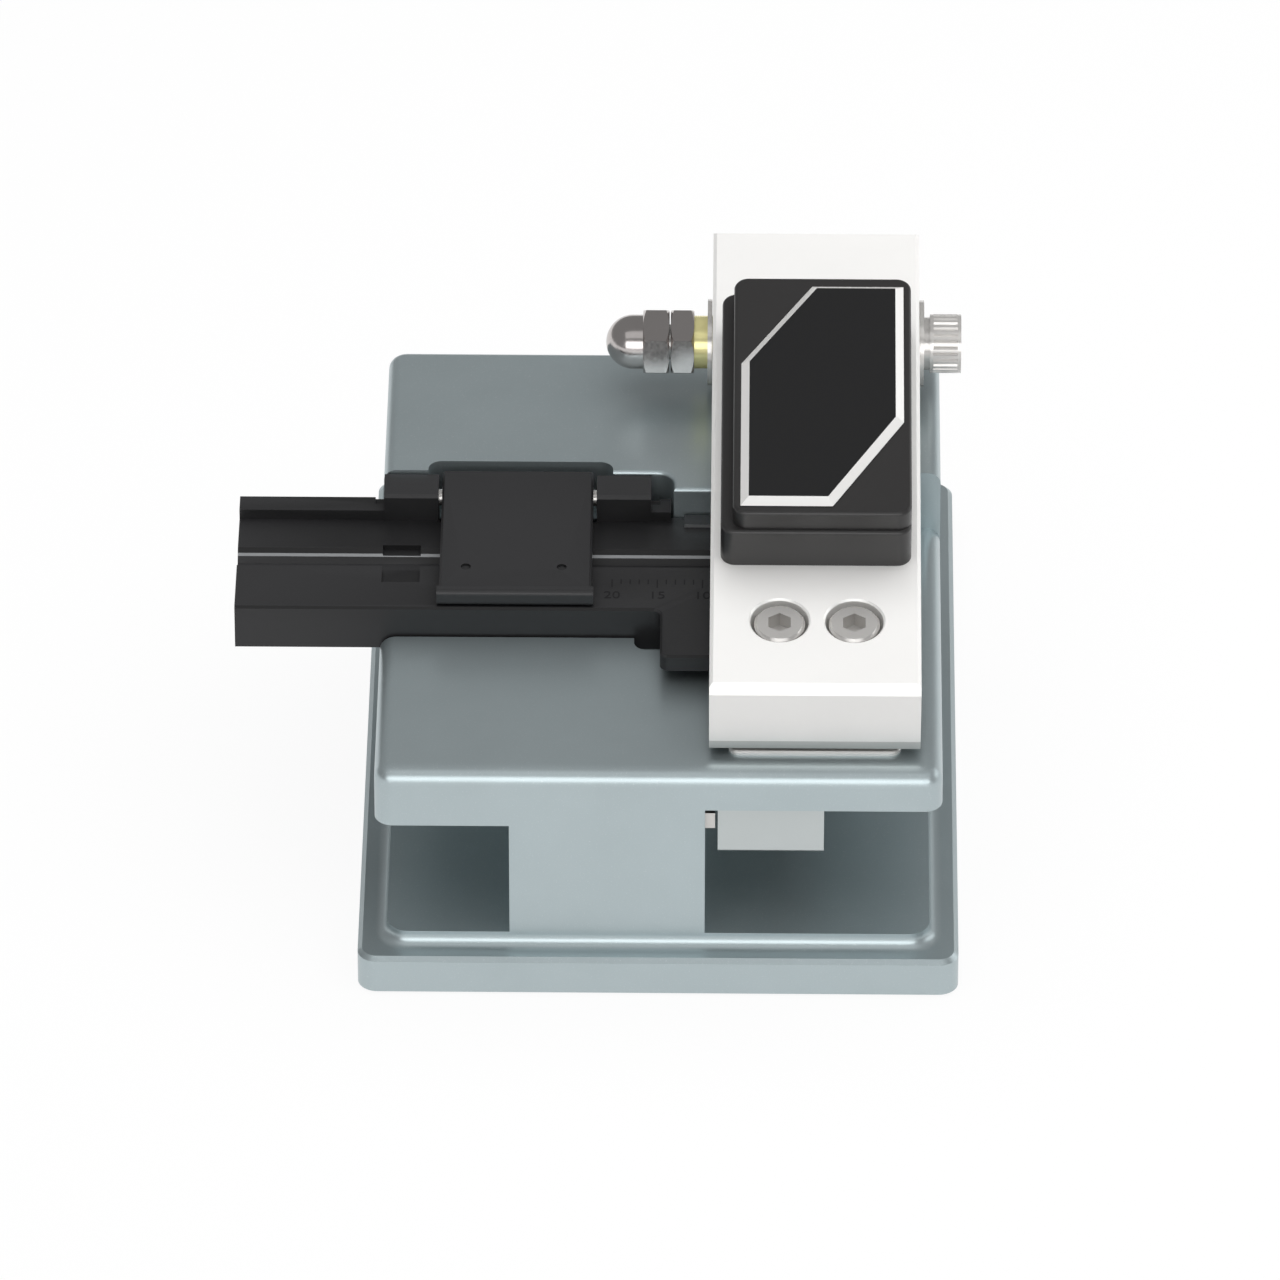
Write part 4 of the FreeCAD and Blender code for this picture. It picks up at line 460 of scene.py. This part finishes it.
class CLEAVER_OT_guide(bpy.types.Operator):
    """Finishes the fibre guide, its lid and rest, and lays the length scale on the guide"""

    bl_idname = "cleaver.guide"
    bl_label = "Fibre guide"

    def execute(self, context):
        finishes = context.scene.cleaver_finishes
        black = finishes.black_colour
        # Painted shade: the upper band of the groove's sloping wall is painted deep black. Painted highlight:
        # the band just below it, and the front of the low step at the guide's right end, are painted bright.
        accents = (
            (finishes.soot_colour, GROOVE_WALL, {"Z": self.above_top(GROOVE_SHADE_HEIGHTS)}),
            (finishes.rubbed_colour, GROOVE_WALL, {"Z": self.above_top(GROOVE_HIGHLIGHT_HEIGHTS)}),
            (finishes.rubbed_colour, (0, -1, 0), {"Z": self.above_top(LEDGE_HIGHLIGHT_HEIGHTS), "X": LEDGE_HIGHLIGHT_ENDS}),
        )
        guide = black_anodised("black_anodised_guide", black, 0.42, 0.3, accents)
        dress(guide, "fibre_guide", "fibre_rest")
        # The lid is handled more than the guide, so it has a trace more sheen.
        dress(black_anodised("black_anodised_lid", black, 0.40, 0.3), "clamp_lid")
        pads = ("lid_pad", "lower_clamp_pads", "upper_clamp_pads")
        dress(soft_rubber("clamp_rubber", finishes.rubber_colour), *pads)
        # The laser burns the dye away to a dry matt black, darker than the guide.
        engraved = black_anodised("laser_marked_black", finishes.mark_colour, 0.6, 0.2)
        self.lay_marks(context, engraved)
        self.lay_figures(context, engraved)
        return {"FINISHED"}

    def above_top(self, heights):
        """Heights from the guide's top as heights from the table."""
        return tuple(GUIDE_TOP + height for height in heights)

    def lay_marks(self, context, material):
        """Fine marks every millimetre of fibre length from the blade."""
        scale = context.scene.cleaver_scale
        verts, faces = [], []
        for length in range(scale.first, scale.last + 1):
            reach = SHORT_MARK if length % LONG_EVERY else LONG_MARK
            self.add_bar(verts, faces, BLADE_X - length * MM, reach, scale.line_width)
        mesh = bpy.data.meshes.new("guide_scale_marks")
        mesh.from_pydata(verts, [], faces)
        marks = bpy.data.objects.new("guide_scale_marks", mesh)
        context.scene.collection.objects.link(marks)
        marks.data.materials.append(material)
        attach(marks, "frame")

    def lay_figures(self, context, material):
        """A figure at every long mark."""
        scale = context.scene.cleaver_scale
        feet = BASE_FRONT + MARKS_SETBACK - FIGURES_AHEAD
        for length in range(scale.first, scale.last + 1):
            if length % LONG_EVERY:
                continue
            curve = bpy.data.curves.new(f"figure_{length}", "FONT")
            curve.body = str(length)
            curve.size = scale.figure_height
            curve.align_x = "CENTER"
            curve.extrude = FIGURE_HALF_THICKNESS
            text = bpy.data.objects.new(f"guide_figure_{length}", curve)
            context.scene.collection.objects.link(text)
            text.matrix_world = Matrix.Translation((BLADE_X - length * MM, feet, GUIDE_TOP + FIGURE_MIDDLE))
            text.data.materials.append(material)
            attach(text, "frame")

    def add_bar(self, verts, faces, x, reach, width):
        """One mark: a thin raised bar on the guide's top."""
        left, right = x - width / 2, x + width / 2
        rear = BASE_FRONT + MARKS_SETBACK
        front = rear - reach
        start = len(verts)
        for z in (GUIDE_TOP - MARK_SUNK, GUIDE_TOP + MARK_PROUD):
            verts += [(left, front, z), (right, front, z), (right, rear, z), (left, rear, z)]
        faces += [tuple(start + corner for corner in face) for face in BAR_FACES]


class CLEAVER_OT_arm(bpy.types.Operator):
    """Finishes the lever arm, its nose, the striker plate, the clamp, and the blade's carriage and rail"""

    bl_idname = "cleaver.arm"
    bl_label = "Lever arm and carriage"

    def execute(self, context):
        finishes = context.scene.cleaver_finishes
        silver = finishes.arm_colour
        steel = finishes.steel_colour
        # A clear oxide over milled aluminium: near white, with a broad soft glare.
        oxide = milled_metal("clear_anodised_milled_aluminium", silver, 0.34, 0.35, MILLED_ACROSS, 0.3)
        dress(oxide, "lever_arm")
        # Milled and left bare: greyer, with the cutter's marks from front to back.
        plain = milled_metal("milled_aluminium", finishes.carriage_colour, 0.34, 0.35, MILLED_ALONG, 0.8)
        dress(plain, "clamp_block", "blade_carriage")
        # Ground flat: a full metal, with fine scratches along the stroke of the wheel.
        dress(milled_metal("ground_steel", steel, 0.34, 0.25, GROUND_ALONG), "nose_plate", "slide_rail")
        # Ground and polished, so it mirrors the arm's nose a little; its near-white, mostly matt colour is
        # painted highlight that keeps its rim bright.
        polished = milled_metal("polished_steel_striker", silver, 0.2, 0.25, GROUND_ACROSS, 0.3)
        dress(polished, "striker_plate")
        # Cold-drawn wire and rod: bright, with no scale.
        dress(turned_metal("drawn_spring_steel", steel, 0.2, 0.2), "clamp_springs", "clamp_pins")
        # A hard filled resin, a little duller than the cover.
        dress(moulded_plastic("hard_black_resin", finishes.plastic_colour, 0.4, 0.25), "anvil")
        return {"FINISHED"}


class CLEAVER_OT_cover(bpy.types.Operator):
    """Finishes the moulded cover and the plate set on it"""

    bl_idname = "cleaver.cover"
    bl_label = "Cover"

    def execute(self, context):
        finishes = context.scene.cleaver_finishes
        dress(moulded_plastic("moulded_black_abs", finishes.plastic_colour, 0.36, 0.3), "arm_cover")
        plate = printed_plate("black_plate_with_bright_bevel", finishes.plate_colour, finishes.arm_colour)
        dress(plate, "cover_plate")
        return {"FINISHED"}


class CLEAVER_OT_pivot(bpy.types.Operator):
    """Finishes the pivot's bolt, sleeve, washers and nuts, and the other fasteners"""

    bl_idname = "cleaver.pivot"
    bl_label = "Pivot and fasteners"

    def execute(self, context):
        finishes = context.scene.cleaver_finishes
        # Nickel over steel: a bright gloss, softened a little by the plating.
        steel = turned_metal("nickel_plated_steel", finishes.steel_colour, 0.2, 0.3, 0.65, EVEN)
        dress(steel, "pivot_bolt", "bolt_washer", "pivot_washers")
        dress(steel, "lid_steel_disc", "lid_magnet", "closing_magnet")
        dress(steel, *(name for name in NODES if name.endswith(("_screw", "_screws", "_pin", "_axle"))))
        # The nuts are polished as well, so they mirror the room and the floor.
        nickel = turned_metal("polished_nickel_nut", finishes.nut_colour, 0.18, 0.35, 1.0, EVEN)
        dress(nickel, "pivot_lock_nut", "pivot_cap_nut")
        # Brass left as turned: pale yellow, with fine rings.
        dress(turned_metal("turned_brass", finishes.brass_colour, 0.2, 0.3, 0.6), "pivot_sleeve")
        return {"FINISHED"}


class CLEAVER_OT_blade(bpy.types.Operator):
    """Finishes the round blade"""

    bl_idname = "cleaver.blade"
    bl_label = "Blade"

    def execute(self, context):
        blade_colour = context.scene.cleaver_finishes.blade_colour
        # Lapped on both sides: a dark grey, near to a mirror.
        dress(turned_metal("lapped_hard_metal", blade_colour, 0.15, 0.2), "blade_wheel")
        return {"FINISHED"}


class CLEAVER_OT_studio(bpy.types.Operator):
    """Builds the pale floor, the softboxes, the room and the camera"""

    bl_idname = "cleaver.studio"
    bl_label = "Studio"

    def execute(self, context):
        studio = context.scene.cleaver_studio
        self.add_floor(context)
        # The overhead light fills matt surfaces and leaves no glare on metal. The other three are there for
        # metal and gloss alone, which also show the floor and the room.
        for name, power, size, place, direction, left_out in LIGHTS:
            lamp = self.add_light(context, name, getattr(studio, power), size, place, direction)
            setattr(lamp, left_out, False)
        self.set_room(context, studio.room_level)
        self.add_camera(context, studio)
        context.scene.view_settings.view_transform = "Standard"
        return {"FINISHED"}

    def add_floor(self, context):
        """White paper floor. Seen directly or in metal it is lifted to white, and it keeps its shadow."""
        half = FLOOR_HALF
        corners = [(-half, -half, 0), (half, -half, 0), (half, half, 0), (-half, half, 0)]
        mesh = bpy.data.meshes.new("floor")
        mesh.from_pydata(corners, [], [(0, 1, 2, 3)])
        floor = bpy.data.objects.new("floor", mesh)
        context.scene.collection.objects.link(floor)
        floor.data.materials.append(self.floor_material())

    def floor_material(self):
        """Matt white paper, with white light of its own for the rays that show it."""
        material = empty_material("white_paper")
        tree = material.node_tree
        rays = add_node(tree, "ShaderNodeLightPath").outputs
        seen = rays["Is Camera Ray"]
        for ray in ("Is Glossy Ray", "Is Transmission Ray"):
            seen = add_node(
                tree, "ShaderNodeMath", {"operation": "MAXIMUM"}, {0: seen, 1: rays[ray]}
            ).outputs["Value"]
        share = add_node(tree, "ShaderNodeMath", {"operation": "MULTIPLY"}, {0: seen, 1: FLOOR_LIFT})
        paper = add_node(tree, "ShaderNodeBsdfDiffuse", inputs={"Color": (*linear("#E5E5E5"), 1)})
        white = add_node(tree, "ShaderNodeEmission", inputs={"Strength": 1.0})
        mixed = add_node(
            tree, "ShaderNodeMixShader",
            inputs={0: share.outputs["Value"], 1: paper.outputs["BSDF"], 2: white.outputs["Emission"]},
        )
        add_node(tree, "ShaderNodeOutputMaterial", inputs={"Surface": mixed.outputs["Shader"]})
        return material

    def add_light(self, context, name, power, size, place, direction):
        """A rectangular softbox."""
        light = bpy.data.lights.new(name, "AREA")
        light.shape = "RECTANGLE"
        light.size, light.size_y = size
        light.energy = power
        lamp = bpy.data.objects.new(name, light)
        context.scene.collection.objects.link(lamp)
        lamp.location = place
        lamp.rotation_euler = Vector(direction).to_track_quat("-Z", "Y").to_euler()
        return lamp

    def set_room(self, context, level):
        """A dim, even room."""
        world = bpy.data.worlds.new("room")
        context.scene.world = world
        world.use_nodes = True
        background = world.node_tree.nodes["Background"]
        background.inputs["Color"].default_value = (*linear("#FFFFFF"), 1)
        background.inputs["Strength"].default_value = level

    def add_camera(self, context, studio):
        """Turns the camera to its angles, with the base's bottom front edge where AIM says."""
        data = bpy.data.cameras.new("camera")
        data.lens = studio.lens
        data.sensor_width = SENSOR_WIDTH
        data.clip_start, data.clip_end = CLIP
        camera = bpy.data.objects.new("camera", data)
        context.scene.collection.objects.link(camera)
        a, e = studio.azimuth, studio.elevation
        back = Vector((math.sin(a) * math.cos(e), -math.cos(a) * math.cos(e), math.sin(e)))
        right = Vector((math.cos(a), math.sin(a), 0))
        up = back.cross(right)
        view_width = studio.distance / studio.lens * SENSOR_WIDTH
        aimed = Vector((0, BASE_FRONT, 0)) + back * studio.distance
        camera.location = aimed - right * (AIM_RIGHT * view_width) + up * (AIM_DOWN * view_width)
        camera.rotation_euler = Matrix((right, up, back)).transposed().to_euler()
        context.scene.camera = camera


STEPS = (
    CLEAVER_OT_frame,
    CLEAVER_OT_guide,
    CLEAVER_OT_arm,
    CLEAVER_OT_cover,
    CLEAVER_OT_pivot,
    CLEAVER_OT_blade,
    CLEAVER_OT_studio,
)


class CLEAVER_PT_panel(bpy.types.Panel):
    """Lists the cleaver's settings and steps"""

    bl_idname = "CLEAVER_PT_panel"
    bl_label = "Fibre cleaver"
    bl_space_type = "VIEW_3D"
    bl_region_type = "UI"
    bl_category = "Cleaver"

    def draw(self, context):
        for step in STEPS:
            self.layout.operator(step.bl_idname)
        for group in GROUPS:
            settings = getattr(context.scene, group)
            for name in settings.__annotations__:
                self.layout.prop(settings, name)


GROUPS = {
    "cleaver_finishes": CLEAVER_PG_finishes,
    "cleaver_scale": CLEAVER_PG_scale,
    "cleaver_studio": CLEAVER_PG_studio,
}
CLASSES = (*GROUPS.values(), *STEPS, CLEAVER_PT_panel)


def register():
    """Registers the classes and gives every scene the three groups of settings."""
    for cls in CLASSES:
        bpy.utils.register_class(cls)
    for name, group in GROUPS.items():
        setattr(bpy.types.Scene, name, PointerProperty(type=group))


def unregister():
    """Takes the settings and the classes away again."""
    for name in GROUPS:
        delattr(bpy.types.Scene, name)
    for cls in reversed(CLASSES):
        bpy.utils.unregister_class(cls)


def main():
    register()
    for step in STEPS:
        group, name = step.bl_idname.split(".")
        getattr(getattr(bpy.ops, group), name)()


if __name__ == "__main__":
    main()
